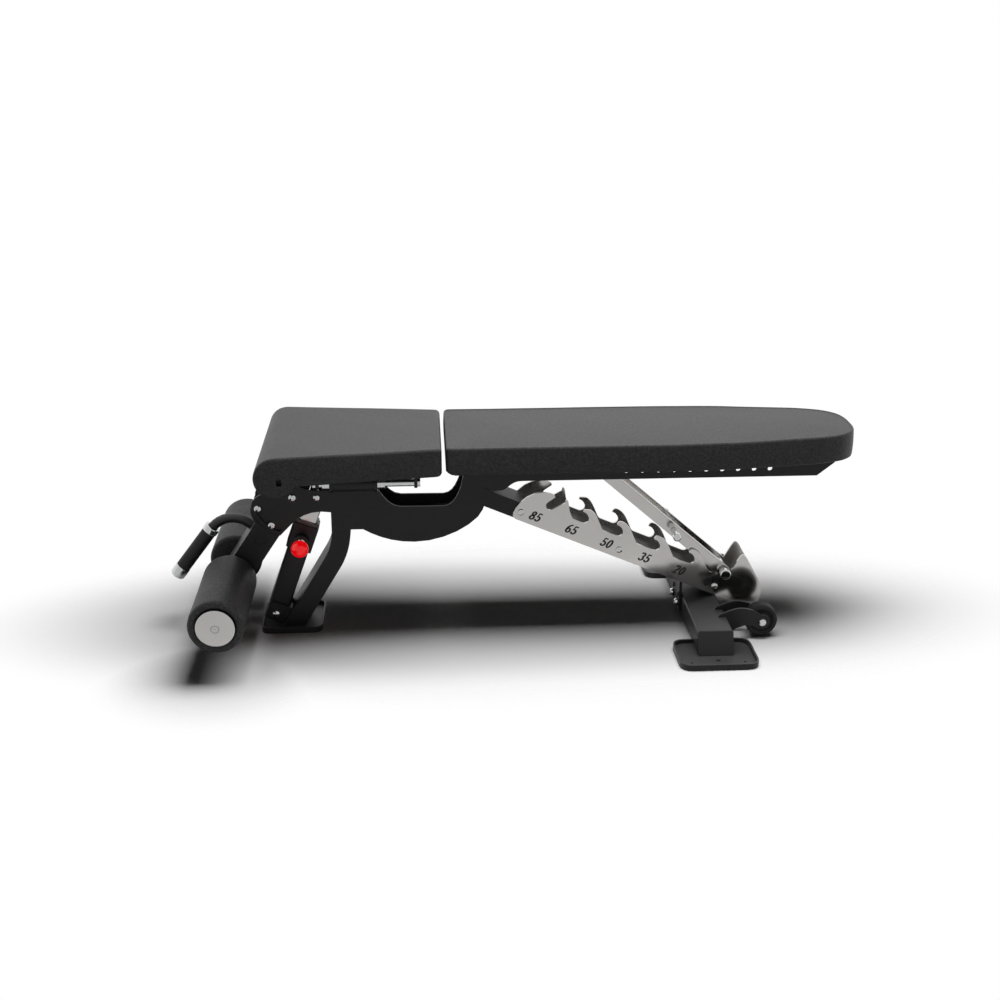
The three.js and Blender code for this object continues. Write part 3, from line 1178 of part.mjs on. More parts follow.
function foamRoller(name, side) {
  const y = side < 0 ? [-ROLLER_Y[1], -ROLLER_Y[0]] : ROLLER_Y;
  const bore = ROLLER_TUBE + RUNNING;
  const half = (y[1] - y[0]) / 2;
  const r = ROLLER_RADIUS;
  const profile = [
    [bore, -half], [r - 5, -half], [r - 1.5, 1.5 - half], [r, 5 - half], [r, half - 5],
    [r - 1.5, half - 1.5], [r - 5, half], [bore, half], [bore, -half],
  ];
  return piece(name, turned(profile, ROLLER_AT, (y[0] + y[1]) / 2, 1, HOLDER, 32), FOAM);
}

function rollerDisc(name, s) {
  const r = ROLLER_DISC;
  const t = ROLLER_DISC_THICKNESS;
  const disc = [[0, 0], [r - 1.5, 0], [r, 1.5], [r, t - 1.5], [r - 2, t], [0, t]];
  const face = ROLLER_Y[1] + CLEARANCE;
  const plug = ROLLER_TUBE - TUBE_WALL - CLEARANCE;
  const y = [s * (face - 16), s * (face + 1)].sort((a, b) => a - b);
  const screw = buttonHead(ROLLER_AT, s * (face + t - 0.5), s, 9, HOLDER);
  return piece(name, join(turned(disc, ROLLER_AT, s * face, s, HOLDER, 24), drum(plug, ...y, ROLLER_AT, HOLDER), screw), SATIN_SILVER);
}

// ---------------------------------------------------------------- pivots and the whole bench

function armPivotBolt() {
  const face = RAIL_OUT + CLEARANCE;
  const outer = RAIL_IN - CLEARANCE;
  const shank = drum(ARM_BOLT, -face, face, ARM_PIVOT, undefined, 24);
  const spacer = bothSides((s) => {
    const y = [s * (ARM_OUT + CLEARANCE), s * outer].sort((a, b) => a - b);
    return drum(10, ...y, ARM_PIVOT);
  });
  const middle = drum(10, CLEARANCE - ARM_IN, ARM_IN - CLEARANCE, ARM_PIVOT);
  const heads = bothSides((s) => buttonHead(ARM_PIVOT, s * face, s, 10));
  return piece('arm_pivot_bolt', join(shank, spacer, middle, heads), CHROME);
}

function seatAxle() {
  const face = FRAME_HALF + CLEARANCE;
  const shank = drum(SEAT_AXLE_RADIUS, -face, face, SEAT_AXLE, undefined, 24);
  const heads = bothSides((s) => {
    const y = [s * face, s * (face + 2)].sort((a, b) => a - b);
    return drum(SEAT_AXLE_RADIUS + 4, ...y, SEAT_AXLE);
  });
  return piece('seat_axle', join(shank, heads), CHROME);
}

function bench() {
  const group = new THREE.Group();
  group.add(
    frontFoot(), legCore(), sidePlate('side_plate_near', -1), sidePlate('side_plate_far', 1), bellyWeb(),
    postBracket(), postOuter(), postGuide(), postBolt(), guideBolt(), pinHousing(),
    spineTube(), ladderPlate('ladder_plate_near', -1), ladderPlate('ladder_plate_far', 1),
    ...LADDER_BOLTS_AT.map((along, i) => ladderBolt(`ladder_bolt_${i + 1}`, along)),
    spineFlange(), rearCrossTube(), rearTubeCap('rear_tube_cap_near', -1), rearTubeCap('rear_tube_cap_far', 1),
    rearFoot('rear_foot_near', -1), rearFoot('rear_foot_far', 1),
    wheelBracket('wheel_bracket_near', -1), wheelBracket('wheel_bracket_far', 1),
    seatAxle(), hingeBolt('holder_pivot_bolt', HOLDER_PIVOT, HOLDER_BOLT, FRAME_HALF + CLEARANCE, 9),
    postInner(), postCap(), pullPin(), pinKnob(),
    backPad(), backBoard(), backFrame(),
    hingeBolt('back_hinge_bolt', BACK_HINGE, HINGE_BOLT, RAIL_OUT + CLEARANCE, 12), armPivotBolt(),
    supportArm('support_arm_near', -1), supportArm('support_arm_far', 1), crossBar(), liftBar(),
    seatCarrier(), slideBush('slide_bush_near', -1), slideBush('slide_bush_far', 1),
    seatPad(), seatPan(), slideRod('slide_rod_near', -1), slideRod('slide_rod_far', 1),
    rollerHolder(), ...SLOT_SCREWS.map((angle, i) => slotScrew(`slot_screw_${i + 1}`, angle)),
    rollerTube(), handleTube(), handleGrip(), handleCap(),
    rollerDisc('roller_disc_near', -1), rollerDisc('roller_disc_far', 1),
    foamRoller('foam_roller_near', -1), foamRoller('foam_roller_far', 1),
    wheel('wheel_near', -1), wheel('wheel_far', 1),
  );
  const box = new THREE.Box3().setFromObject(group);
  const shift = new THREE.Vector3((box.min.x + box.max.x) / 2, 0, box.min.z).negate();
  group.children.forEach((mesh) => mesh.geometry.translate(shift.x, shift.y, shift.z));
  return group;
}

export default bench();
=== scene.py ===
"""Adjustable weight bench: finishes, upholstery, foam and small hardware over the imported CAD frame.

Lengths are in metres where nothing else is said, in the frame of the CAD model: +X to the head end, +Y
across, +Z up. Turned profiles and the sizes of finishes are in mm.
"""

import json
import logging
import math
from dataclasses import dataclass
from enum import Enum
from functools import cache
from typing import Iterable, Sequence

import bmesh
import bpy
import numpy as np
from mathutils import Matrix, Vector

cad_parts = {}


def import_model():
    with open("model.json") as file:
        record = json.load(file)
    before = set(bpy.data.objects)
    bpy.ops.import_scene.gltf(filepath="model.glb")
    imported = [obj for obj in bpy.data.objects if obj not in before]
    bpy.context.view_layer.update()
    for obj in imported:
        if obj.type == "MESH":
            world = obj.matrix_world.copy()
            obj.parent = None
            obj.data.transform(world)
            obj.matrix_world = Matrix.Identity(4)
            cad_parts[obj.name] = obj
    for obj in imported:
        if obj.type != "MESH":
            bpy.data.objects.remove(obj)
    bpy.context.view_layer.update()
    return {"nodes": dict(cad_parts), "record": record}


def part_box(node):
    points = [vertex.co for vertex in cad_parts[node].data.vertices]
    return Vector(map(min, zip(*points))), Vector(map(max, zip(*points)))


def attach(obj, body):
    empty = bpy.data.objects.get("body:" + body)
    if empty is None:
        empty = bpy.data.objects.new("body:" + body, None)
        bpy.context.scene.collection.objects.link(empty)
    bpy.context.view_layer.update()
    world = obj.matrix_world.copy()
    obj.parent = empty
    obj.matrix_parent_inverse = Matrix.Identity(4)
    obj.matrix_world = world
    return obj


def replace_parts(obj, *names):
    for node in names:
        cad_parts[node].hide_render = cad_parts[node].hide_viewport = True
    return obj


LOG = logging.getLogger("bench")
MM = 0.001
WELD = 2e-6  # points closer than this are one point, in metres
CREASE = math.radians(40)  # a carved edge sharper than this is shaded sharp
BEVEL_LIMIT = math.radians(33)  # a CAD edge sharper than this gets a bevel
TIP = 0.01  # radius that closes the end of a turned profile, in mm
LEAST = 1e-4  # smallest radius of a turned ring, in mm

Array = np.ndarray
Span = tuple[float, float]
Triple = tuple[float, float, float]
Profile = list[Span]
Faces = Iterable[Sequence[int]]
Socket = bpy.types.NodeSocket


def srgb(code: str) -> tuple[float, float, float, float]:
    """Turn an sRGB hex code into a linear colour.

    Args:
        code: Colour such as "#202224".

    Returns:
        Red, green, blue and alpha, linear.
    """
    parts = [int(code[i : i + 2], 16) / 255 for i in (1, 3, 5)]
    linear = [c / 12.92 if c <= 0.04045 else ((c + 0.055) / 1.055) ** 2.4 for c in parts]
    return (*linear, 1.0)


# --- nodes


@dataclass
class Graph:
    """A node tree that takes each node in one call.

    Args:
        tree: The node tree.
        prefix: What the names of its node types start with.
    """

    tree: bpy.types.NodeTree
    prefix: str = "ShaderNode"

    @classmethod
    def emptied(cls, owner: bpy.types.Material | bpy.types.World) -> "Graph":
        """Empty the node tree of a material or world.

        Args:
            owner: The material or world.

        Returns:
            Its graph.
        """
        owner.use_nodes = True
        owner.node_tree.nodes.clear()
        return cls(owner.node_tree)

    def fill(self, socket: Socket, value: object) -> None:
        """Link an input to a socket, or set its own value.

        Args:
            socket: The input.
            value: A socket to link from, a plain value, or None to leave the input as it is.
        """
        if isinstance(value, Socket):
            self.tree.links.new(value, socket)
        elif value is not None:
            socket.default_value = value

    def add(self, kind: str, *inputs: object, **settings: object) -> bpy.types.Node:
        """Add a node, set its properties and fill its inputs.

        Args:
            kind: Node type, without the prefix.
            inputs: What fills the first inputs, in their order.
            settings: Property values and what fills other inputs, by name.

        Returns:
            The new node.
        """
        node = self.tree.nodes.new(self.prefix + kind)
        for key, value in settings.items():
            if hasattr(node, key) and key not in node.inputs:
                setattr(node, key, value)
            else:
                self.fill(node.inputs[key], value)
        for socket, value in zip(node.inputs, inputs):
            self.fill(socket, value)
        return node


def add_object(name: str, data: bpy.types.ID) -> bpy.types.Object:
    """Put a new object in the scene.

    Args:
        name: Its name.
        data: Its mesh, lamp or camera.

    Returns:
        The object.
    """
    made = bpy.data.objects.new(name, data)
    bpy.context.scene.collection.objects.link(made)
    return made


# --- finishes


NOT_COLOURS = (None,) * 5  # inputs of a Mix node between its factor and its two colours
PATCH_SPAN = (0.35, 0.65)  # soft noise that counts as fully dark and fully light
EDGE_SPAN = (0.53, 0.62)  # pointiness of an edge that starts to show wear and of one that is fully worn
RUBBED = "#8d8d8e"  # metal that shows through worn powder coat
THREAD_SHARE = 0.6  # part of a weave's height that comes from its threads
THREAD_PITCH = 3.2  # bands of the wave texture in one unit of its scale
SLUB_SCALE = 0.33  # uneven thickness of the thread, against the weave's own scale
SLUB_SPAN = (0.3, 0.7)  # noise that counts as thin and as thick thread


class Pattern(Enum):
    """The kind of fine relief that a finish carries."""

    SPECKLE = "speckle"
    WEAVE = "weave"
    CELLS = "cells"


@dataclass(frozen=True)
class Finish:
    """One real surface, from its colour down to its grain.

    Args:
        name: Slot name in the record.
        colour: sRGB hex of the clean surface.
        tint: sRGB hex that the colour drifts to in soft patches and on the relief's ridges.
        roughness: Lowest and highest roughness over the surface.
        metallic: 0 for a dielectric, 1 for bare metal.
        grain: Size of the fine relief in mm.
        relief: Height of the fine relief in mm.
        pattern: Kind of relief.
        coat: Strength of a clear coat.
        shine: Specular level, 0.5 for plain plastic.
        painted_glow: Share of its own colour given back as emission: painted light that keeps a surface bright
            in the shade.
        patch: Size of the soft colour and roughness patches in mm.
        relief_shade: How far colour and shine follow the relief, 0 to 1; a lighter tint paints shade into its
            hollows.
        wear: How far the sharp edges are rubbed light, 0 to 1.
    """

    name: str
    colour: str
    tint: str
    roughness: Span
    metallic: float = 0.0
    grain: float = 0.6
    relief: float = 0.01
    pattern: Pattern = Pattern.SPECKLE
    coat: float = 0.0
    shine: float = 0.5
    painted_glow: float = 0.0
    patch: float = 70.0
    relief_shade: float = 0.35
    wear: float = 0.0

    @cache
    def material(self) -> bpy.types.Material:
        """Build the node material, once.

        Returns:
            The finished material.
        """
        material = bpy.data.materials.new("bench_" + self.name)
        graph = Graph.emptied(material)
        space = graph.add("TexCoord").outputs["Object"]
        patch = graph.add("TexNoise", Vector=space, Scale=1 / (self.patch * MM), Detail=3.0).outputs["Fac"]
        height = self._relief(graph, space)
        soft = graph.add("MapRange", patch, *PATCH_SPAN).outputs[0]
        # The soft patches are a real drift in tone; the relief_shade share follows the relief's height,
        # painted shade in its hollows where the tint is lighter.
        share = graph.add("Mix", self.relief_shade, None, soft, height).outputs[0]
        colours = srgb(self.colour), srgb(self.tint)
        clean = graph.add("Mix", share, *NOT_COLOURS, *colours, data_type="RGBA").outputs[2]
        bump = graph.add("Bump", Height=height, Distance=self.relief * MM, Strength=1.0)
        gleam = (self.shine * (1 - self.relief_shade), self.shine * (1 + self.relief_shade))
        shader = graph.add("BsdfPrincipled", Normal=bump.outputs["Normal"])
        sockets = {
            "Base Color": self._worn(graph, clean, patch),
            "Roughness": graph.add("MapRange", patch, 0.0, 1.0, *self.roughness).outputs[0],
            "Specular IOR Level": graph.add("MapRange", height, 0.0, 1.0, *gleam).outputs[0],
            "Metallic": self.metallic,
            "Coat Weight": self.coat,
            # Emission is painted light, set by painted_glow.
            "Emission Color": srgb(self.colour),
            "Emission Strength": self.painted_glow,
        }
        for name, value in sockets.items():
            graph.fill(shader.inputs[name], value)
        graph.add("OutputMaterial", Surface=shader.outputs["BSDF"])
        return material

    def _worn(self, graph: Graph, clean: Socket, patch: Socket) -> Socket:
        """Lighten the sharp edges in uneven patches, as handling does.

        Args:
            graph: Nodes of the material.
            clean: Colour of the clean surface.
            patch: Soft noise from 0 to 1.

        Returns:
            A socket with the colour, worn at the edges.
        """
        if self.wear == 0.0:
            return clean
        edge = graph.add("NewGeometry").outputs["Pointiness"]
        sharp = graph.add("MapRange", edge, *EDGE_SPAN, 0.0, self.wear).outputs[0]
        worn = graph.add("Math", sharp, patch, operation="MULTIPLY").outputs[0]
        return graph.add("Mix", worn, *NOT_COLOURS, clean, srgb(RUBBED), data_type="RGBA").outputs[2]

    def _relief(self, graph: Graph, space: Socket) -> Socket:
        """Make the height of the fine relief.

        Args:
            graph: Nodes of the material.
            space: Object coordinates.

        Returns:
            A socket with the height from 0 to 1.
        """
        scale = 1 / (self.grain * MM)
        if self.pattern is Pattern.CELLS:
            return graph.add("TexVoronoi", Vector=space, Scale=scale).outputs["Distance"]
        if self.pattern is Pattern.WEAVE:
            return self._weave(graph, space, scale)
        return graph.add("TexNoise", Vector=space, Scale=scale, Detail=4.0).outputs["Fac"]

    def _weave(self, graph: Graph, space: Socket, scale: float) -> Socket:
        """Cross two sets of threads of uneven thickness.

        Args:
            graph: Nodes of the material.
            space: Object coordinates. The cloth runs along X and along Y plus Z, down over the sides.
            scale: Threads per metre, roughly.

        Returns:
            A socket with the height from 0 to 1.
        """
        place = graph.add("SeparateXYZ", space).outputs
        rows = graph.add("Math", place["Y"], place["Z"], operation="ADD").outputs[0]
        cloth = graph.add("CombineXYZ", place["X"], rows).outputs[0]
        threads = [
            graph.add("TexWave", Vector=cloth, Scale=scale / THREAD_PITCH, bands_direction=way).outputs["Fac"]
            for way in ("X", "Y")
        ]
        ridge = graph.add("Math", *threads, operation="MAXIMUM").outputs[0]
        noise = graph.add("TexNoise", Vector=space, Scale=scale * SLUB_SCALE, Detail=4.0).outputs["Fac"]
        slub = graph.add("MapRange", noise, *SLUB_SPAN).outputs[0]
        rest = graph.add("Math", slub, 1 - THREAD_SHARE, operation="MULTIPLY").outputs[0]
        return graph.add("Math", ridge, THREAD_SHARE, rest, operation="MULTIPLY_ADD").outputs[0]


FINISHES: dict[str, Finish] = {
    f.name: f
    for f in (
        # Powder coat on steel: dark satin with a fine pebble, its sharp edges rubbed light.
        Finish("powder_black", "#3a3a3b", "#404041", (0.38, 0.5), 0.0, 0.9, 0.016, shine=0.35, wear=0.16),
        # Satin plate on steel: a soft mirror that drifts a little in colour.
        Finish("satin_silver", "#d2cfcc", "#c9c6c4", (0.1, 0.17), 1.0, 3.0, 0.0006, patch=120),
        # Chrome plate: a clear mirror, slightly cool.
        Finish("chrome", "#dcdddd", "#d3d5d6", (0.05, 0.1), 1.0, 3.0, 0.0006),
        # Embossed vinyl: dull black cloth look. The emboss is drawn coarser than it is, so that it shows, and
        # its grooves are painted darker as shade.
        Finish("vinyl", "#151516", "#373738", (0.42, 0.56), 0.0, 1.5, 0.12, Pattern.WEAVE,
               shine=0.34, patch=160, relief_shade=0.8),
        # Closed-cell foam: matt near-black. The cells are drawn coarser than they are, so that they show, and
        # their hollows are painted darker as shade.
        Finish("foam", "#0c0c0d", "#202021", (0.48, 0.66), 0.0, 2.2, 0.14, Pattern.CELLS, relief_shade=0.85),
        # Moulded tyre rubber: matt near-black, almost smooth.
        Finish("rubber", "#131314", "#19191a", (0.6, 0.8), 0.0, 1.2, 0.05),
        # Rubber sleeve: matt black, a little darker than the tyres.
        Finish("grip_rubber", "#111112", "#171718", (0.55, 0.75), 0.0, 1.0, 0.06),
        # Moulded plastic: black, half matt.
        Finish("black_plastic", "#161617", "#1b1b1c", (0.4, 0.55), 0.0, 1.0, 0.03),
        # Turned nylon: pale grey, half matt.
        Finish("grey_nylon", "#c6c8c9", "#b9bbbd", (0.4, 0.5), 0.0, 1.0, 0.02),
        # Dyed and polished plastic: bright red under a clear gloss, kept bright in the shade by painted light
        # from its emission.
        Finish("red_gloss", "#ee0610", "#e0050c", (0.12, 0.2), 0.0, 2.0, 0.004, coat=0.3, painted_glow=0.8),
        # Screen print: flat soft black.
        Finish("print_black", "#1c1c1d", "#262627", (0.5, 0.6), 0.0, 0.8, 0.01),
    )
}

# --- meshes


def mesh_piece(name: str, points: Array, faces: Faces, body: str, slot: str) -> bpy.types.Object:
    """Make a mesh object with its finish, riding on a body.

    Args:
        name: Piece name.
        points: Vertex positions, one row each.
        faces: Vertex numbers of each face.
        body: CAD body that it moves with.
        slot: Finish name.

    Returns:
        The new object.
    """
    mesh = bpy.data.meshes.new(name)
    mesh.from_pydata(points.tolist(), [], [list(f) for f in faces])
    build = bmesh.new()
    build.from_mesh(mesh)
    bmesh.ops.remove_doubles(build, verts=build.verts, dist=WELD)
    bmesh.ops.dissolve_degenerate(build, dist=1e-7, edges=build.edges)
    bmesh.ops.recalc_face_normals(build, faces=build.faces)
    build.to_mesh(mesh)
    build.free()
    mesh.polygons.foreach_set("use_smooth", [True] * len(mesh.polygons))
    mesh.materials.append(FINISHES[slot].material())
    piece = add_object(name, mesh)
    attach(piece, body)
    LOG.info("%s: %d faces on %s", name, len(mesh.polygons), body)
    return piece


def ring_faces(rows: int, columns: int) -> list[list[int]]:
    """Quads between neighbouring closed rings.

    Args:
        rows: Number of rings.
        columns: Points in each ring.

    Returns:
        Vertex numbers of each quad.
    """
    i, j = np.meshgrid(np.arange(rows - 1), np.arange(columns), indexing="ij")
    k = (j + 1) % columns
    quads = np.stack([i * columns + j, i * columns + k, (i + 1) * columns + k, (i + 1) * columns + j], -1)
    return quads.reshape(-1, 4).tolist()


def carve(piece: bpy.types.Object, centre: Vector, size: Vector) -> None:
    """Cut a box out of a piece.

    Args:
        piece: The piece, changed in place.
        centre: Middle of the box.
        size: Size of the box.
    """
    mesh = bpy.data.meshes.new("room")
    build = bmesh.new()
    bmesh.ops.create_cube(build, size=1.0, matrix=Matrix.Translation(centre) @ Matrix.Diagonal((*size, 1.0)))
    build.to_mesh(mesh)
    build.free()
    cutter = add_object("room", mesh)
    cut = piece.modifiers.new("room", "BOOLEAN")
    cut.operation, cut.object, cut.solver = "DIFFERENCE", cutter, "EXACT"
    bpy.context.view_layer.update()
    done = bpy.data.meshes.new_from_object(piece.evaluated_get(bpy.context.evaluated_depsgraph_get()))
    piece.modifiers.clear()
    done.set_sharp_from_angle(angle=CREASE)
    piece.data = done
    bpy.data.objects.remove(cutter)


def middle(node: str) -> Vector:
    """Find the middle of a CAD node's box.

    Args:
        node: Node name.

    Returns:
        The middle.
    """
    low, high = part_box(node)
    return Vector([(a + b) / 2 for a, b in zip(low, high)])


def lathe(profile: Profile, centre: Vector, axis: Vector, sides: int) -> tuple[Array, list[list[int]]]:
    """Turn a profile about an axis.

    Args:
        profile: (radius, distance along the axis) in mm, from one end to the other.
        centre: Origin of the profile.
        axis: Direction of the axis.
        sides: Points around.

    Returns:
        Points and faces. A point at radius r, distance d and angle a lies at
        centre + d * axis + r * (cos a * u + sin a * v), with u and v square to the axis.
    """
    turn = axis.to_track_quat("Z", "Y").to_matrix()
    u, v, w = (np.array(turn.col[i]) for i in range(3))
    angle = np.linspace(0, 2 * np.pi, sides, endpoint=False)
    around = np.cos(angle)[:, None] * u + np.sin(angle)[:, None] * v
    rings = [np.array(centre) + d * MM * w + max(r, LEAST) * MM * around for r, d in profile]
    return np.concatenate(rings), ring_faces(len(rings), sides)


@cache
def smooth_shading() -> bpy.types.NodeTree:
    """Build the node group that drops the imported normals and shades smooth, once.

    Returns:
        A geometry node group for a modifier, so that a CAD node's own mesh stays as it is.
    """
    tree = bpy.data.node_groups.new("bench_shading", "GeometryNodeTree")
    for way in ("INPUT", "OUTPUT"):
        tree.interface.new_socket("Geometry", in_out=way, socket_type="NodeSocketGeometry")
    graph = Graph(tree, prefix="")
    start = graph.add("NodeGroupInput").outputs["Geometry"]
    bare = graph.add("GeometryNodeRemoveAttribute", Geometry=start, Name="custom_normal")
    smooth = graph.add("GeometryNodeSetShadeSmooth", Geometry=bare.outputs["Geometry"])
    graph.add("NodeGroupOutput", Geometry=smooth.outputs[0])
    return tree


def bevelled(node: bpy.types.Object, width: float, slot: str) -> None:
    """Soften a CAD node's edges with modifiers and give it its finish.

    Args:
        node: The CAD object, whose own mesh stays as it is.
        width: Bevel width in mm.
        slot: Finish name.
    """
    for place in node.material_slots:
        place.material = FINISHES[slot].material()
    shading = node.modifiers.new("shading", "NODES")
    shading.node_group = smooth_shading()
    weld = node.modifiers.new("weld", "WELD")
    weld.merge_threshold = WELD
    bevel = node.modifiers.new("bevel", "BEVEL")
    bevel.width = width * MM
    bevel.segments = 2
    bevel.limit_method = "ANGLE"
    bevel.angle_limit = BEVEL_LIMIT
    bevel.harden_normals = True
    LOG.info("finish %s on %s", slot, node.name)


# --- upholstery


WAVES = 8  # sine waves in one ripple
CALM = 5  # what their sum is divided by
SAG = 0.0004  # height of the waves on top of a pad, in metres
PUFF = 0.0012  # how far a pad's side bulges, in metres


def ripple(x: Array, y: Array, seed: int, size: float) -> Array:
    """Soft random waviness, mostly from -1 to 1: sine waves in random directions, added up.

    Args:
        x: First coordinate.
        y: Second coordinate.
        seed: Seed of the directions and phases.
        size: Mean wavelength.

    Returns:
        The waviness at each point.
    """
    random = np.random.default_rng(seed)
    total = np.zeros_like(x)
    for _ in range(WAVES):
        heading, phase = random.uniform(0, 2 * np.pi, 2)
        length = size * random.uniform(0.6, 1.7)
        total += np.sin((x * math.cos(heading) + y * math.sin(heading)) * 2 * np.pi / length + phase)
    return total / CALM


def outward(loop: Array) -> Array:
    """Find the unit normals of a closed outline.

    Args:
        loop: Points of the outline, two coordinates each.

    Returns:
        A normal for each point, to the right of the outline's direction.
    """
    tangent = np.roll(loop, -1, 0) - np.roll(loop, 1, 0)
    normal = np.stack([tangent[:, 1], -tangent[:, 0]], -1)
    return normal / np.linalg.norm(normal, axis=1)[:, None]


def arc(centre: Span, radius: float, start: float, end: float, count: int) -> Array:
    """Part of a circle.

    Args:
        centre: Its centre.
        radius: Its radius.
        start: First angle in radians.
        end: Last angle in radians.
        count: Number of points.

    Returns:
        The points, two coordinates each.
    """
    angle = np.linspace(start, end, count)
    return np.column_stack([centre[0] + radius * np.cos(angle), centre[1] + radius * np.sin(angle)])


@dataclass
class Pad:
    """A padded piece drawn tight over its board.

    Args:
        low: Lowest corner of the CAD pad.
        high: Highest corner of the CAD pad.
        edge: Edge rounding.
    """

    low: Vector
    high: Vector
    edge: float = 0.0055


# Plan of the back pad's head: distance along X from the hinge end and half width, from the tip round to
# where the side runs straight.
HEAD = MM * np.array(
    [(898.5, 0), (898, 22), (894.5, 45), (885, 68), (866, 88), (818, 108.5), (756, 120)]
    + [(690, 129.5), (622, 137.5), (560, 142.2), (500, 145.4), (440, 146)]
)
HEAD_STEPS = np.concatenate([[0], np.cumsum(np.linalg.norm(np.diff(HEAD, axis=0), axis=1))])


@dataclass
class BackPad(Pad):
    """The long pad, with a rounded head.

    Args:
        drop: How far the cover wraps down round the board.
        chamfer: Run and rise under the front edge.
        corner: Radius of the front corners in plan.
        under: Rounding of the lower edge.
        dip: How far the top's border lies below the CAD pad's top.
        crown: How far the middle rises from there.
        ends: How far the pad's middle line stops from each end.
    """

    drop: float = 0.005
    chamfer: Span = (0.016, 0.008)
    corner: float = 0.012
    under: float = 0.0025
    dip: float = 0.0016
    crown: float = 0.0026
    ends: float = 0.12

    def outline(self) -> Array:
        """Plan outline, one point every few millimetres.

        Returns:
            Points (x, y) anticlockwise, from the head end.
        """
        half, turn = self.high.y, self.corner
        fine = np.linspace(0, HEAD_STEPS[-1], 90)
        curve = np.stack([spline(HEAD_STEPS, HEAD[:, i], fine) for i in (0, 1)], -1)
        curve[:, 1] *= half / HEAD[-1, 1]
        straight = np.linspace((HEAD[-1, 0] - 0.005, half), (turn, half), 60)
        corner = arc((turn, half - turn), turn, np.pi / 2, np.pi, 6)[1:]
        front = np.linspace((0, half - 0.02), (0, 0), 24)
        upper = np.concatenate([curve, straight, corner, front])
        lower = upper[1:-1][::-1] * [1, -1]
        loop = np.concatenate([upper, lower])
        loop[:, 0] += self.low.x
        return loop

    def build(self) -> bpy.types.Object:
        """Loft rings from the middle of the underside round the edge to the middle of the top.

        Returns:
            The pad, standing for the CAD pad.
        """
        plan = self.outline()
        normal = outward(plan)
        spine = np.clip(plan[:, 0], self.low.x + self.ends, self.high.x - self.ends)
        spine = np.stack([spine, np.zeros(len(plan))], -1)
        r, z0, z1 = self.edge, self.low.z - self.drop, self.high.z
        rings = []

        def ring(inset: float, share: float, z: float) -> None:
            """Add a level ring.

            Args:
                inset: How far it lies inside the plan outline.
                share: How far it is drawn in to the middle line, 0 to 1.
                z: Its height.
            """
            base = plan - normal * inset
            rings.append(np.column_stack([base + (spine - base) * share, np.full(len(plan), z)]))

        for share in (1.0, 0.8, 0.6, 0.4, 0.2, 0.165):
            ring(self.under, share, z0 + self.drop + 0.0004)
        for share in (0.155, 0.06):
            ring(self.under, share, z0)
        for step in np.linspace(0, np.pi / 2, 5):
            ring(self.under * (1 - math.sin(step)), 0.0, z0 + self.under * (1 - math.cos(step)))
        for z in np.linspace(z0 + 0.008, z1 - r - 0.001, 9):
            ring(-PUFF * math.sin(np.pi * (z - z0) / (z1 - z0 - r)), 0.0, z)
        for step in np.linspace(0, np.pi / 2, 9):
            ring(r * (1 - math.cos(step)), 0.0, z1 - r + r * math.sin(step) - self.dip * (step > 1.5))
        for share in (0.03, 0.08, 0.16, 0.28, 0.42, 0.58, 0.74, 0.88, 1.0):
            ring(r, share, z1 - self.dip + self.crown * math.sin(share * np.pi / 2))
        grid = np.array(rings)
        points = grid.reshape(-1, 3)
        self._soften(points)
        pad = mesh_piece("back_pad_vinyl", points, ring_faces(len(rings), len(plan)), "back_rest", "vinyl")
        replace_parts(pad, "back_pad")
        return pad

    def _soften(self, points: Array) -> None:
        """Chamfer under the front edge and give the cover its slight waviness.

        Args:
            points: Pad points, changed in place. Below the chamfer line, z is raised to
                z0 + rise * (1 - (x - x0) / run).
        """
        run, rise = self.chamfer
        near = points[:, 0] < self.low.x + run
        least = self.low.z - self.drop + rise * (1 - (points[:, 0] - self.low.x) / run)
        points[near, 2] = np.maximum(points[near, 2], least[near])
        top = points[:, 2] > self.high.z - 0.006
        points[top, 2] += SAG * ripple(points[top, 0], points[top, 1], 3, 0.16)
        side = ~top & (points[:, 2] > self.low.z + 0.006)
        points[side, 1] *= 1 + 0.0022 * ripple(points[side, 0], points[side, 2] * 2, 5, 0.07)


def spline(knots: Array, values: Array, at: Array) -> Array:
    """Smooth curve through knots: cubic pieces whose slopes are the mean of their neighbours'.

    Args:
        knots: Rising positions.
        values: Value at each knot.
        at: Positions wanted.

    Returns:
        Value at each wanted position.
    """
    slope = np.gradient(values, knots)
    i = np.clip(np.searchsorted(knots, at) - 1, 0, len(knots) - 2)
    h = knots[i + 1] - knots[i]
    t = (at - knots[i]) / h
    start = (1 + 2 * t) * (1 - t) ** 2 * values[i] + t * (1 - t) ** 2 * h * slope[i]
    return start + t**2 * (3 - 2 * t) * values[i + 1] + t**2 * (t - 1) * h * slope[i + 1]


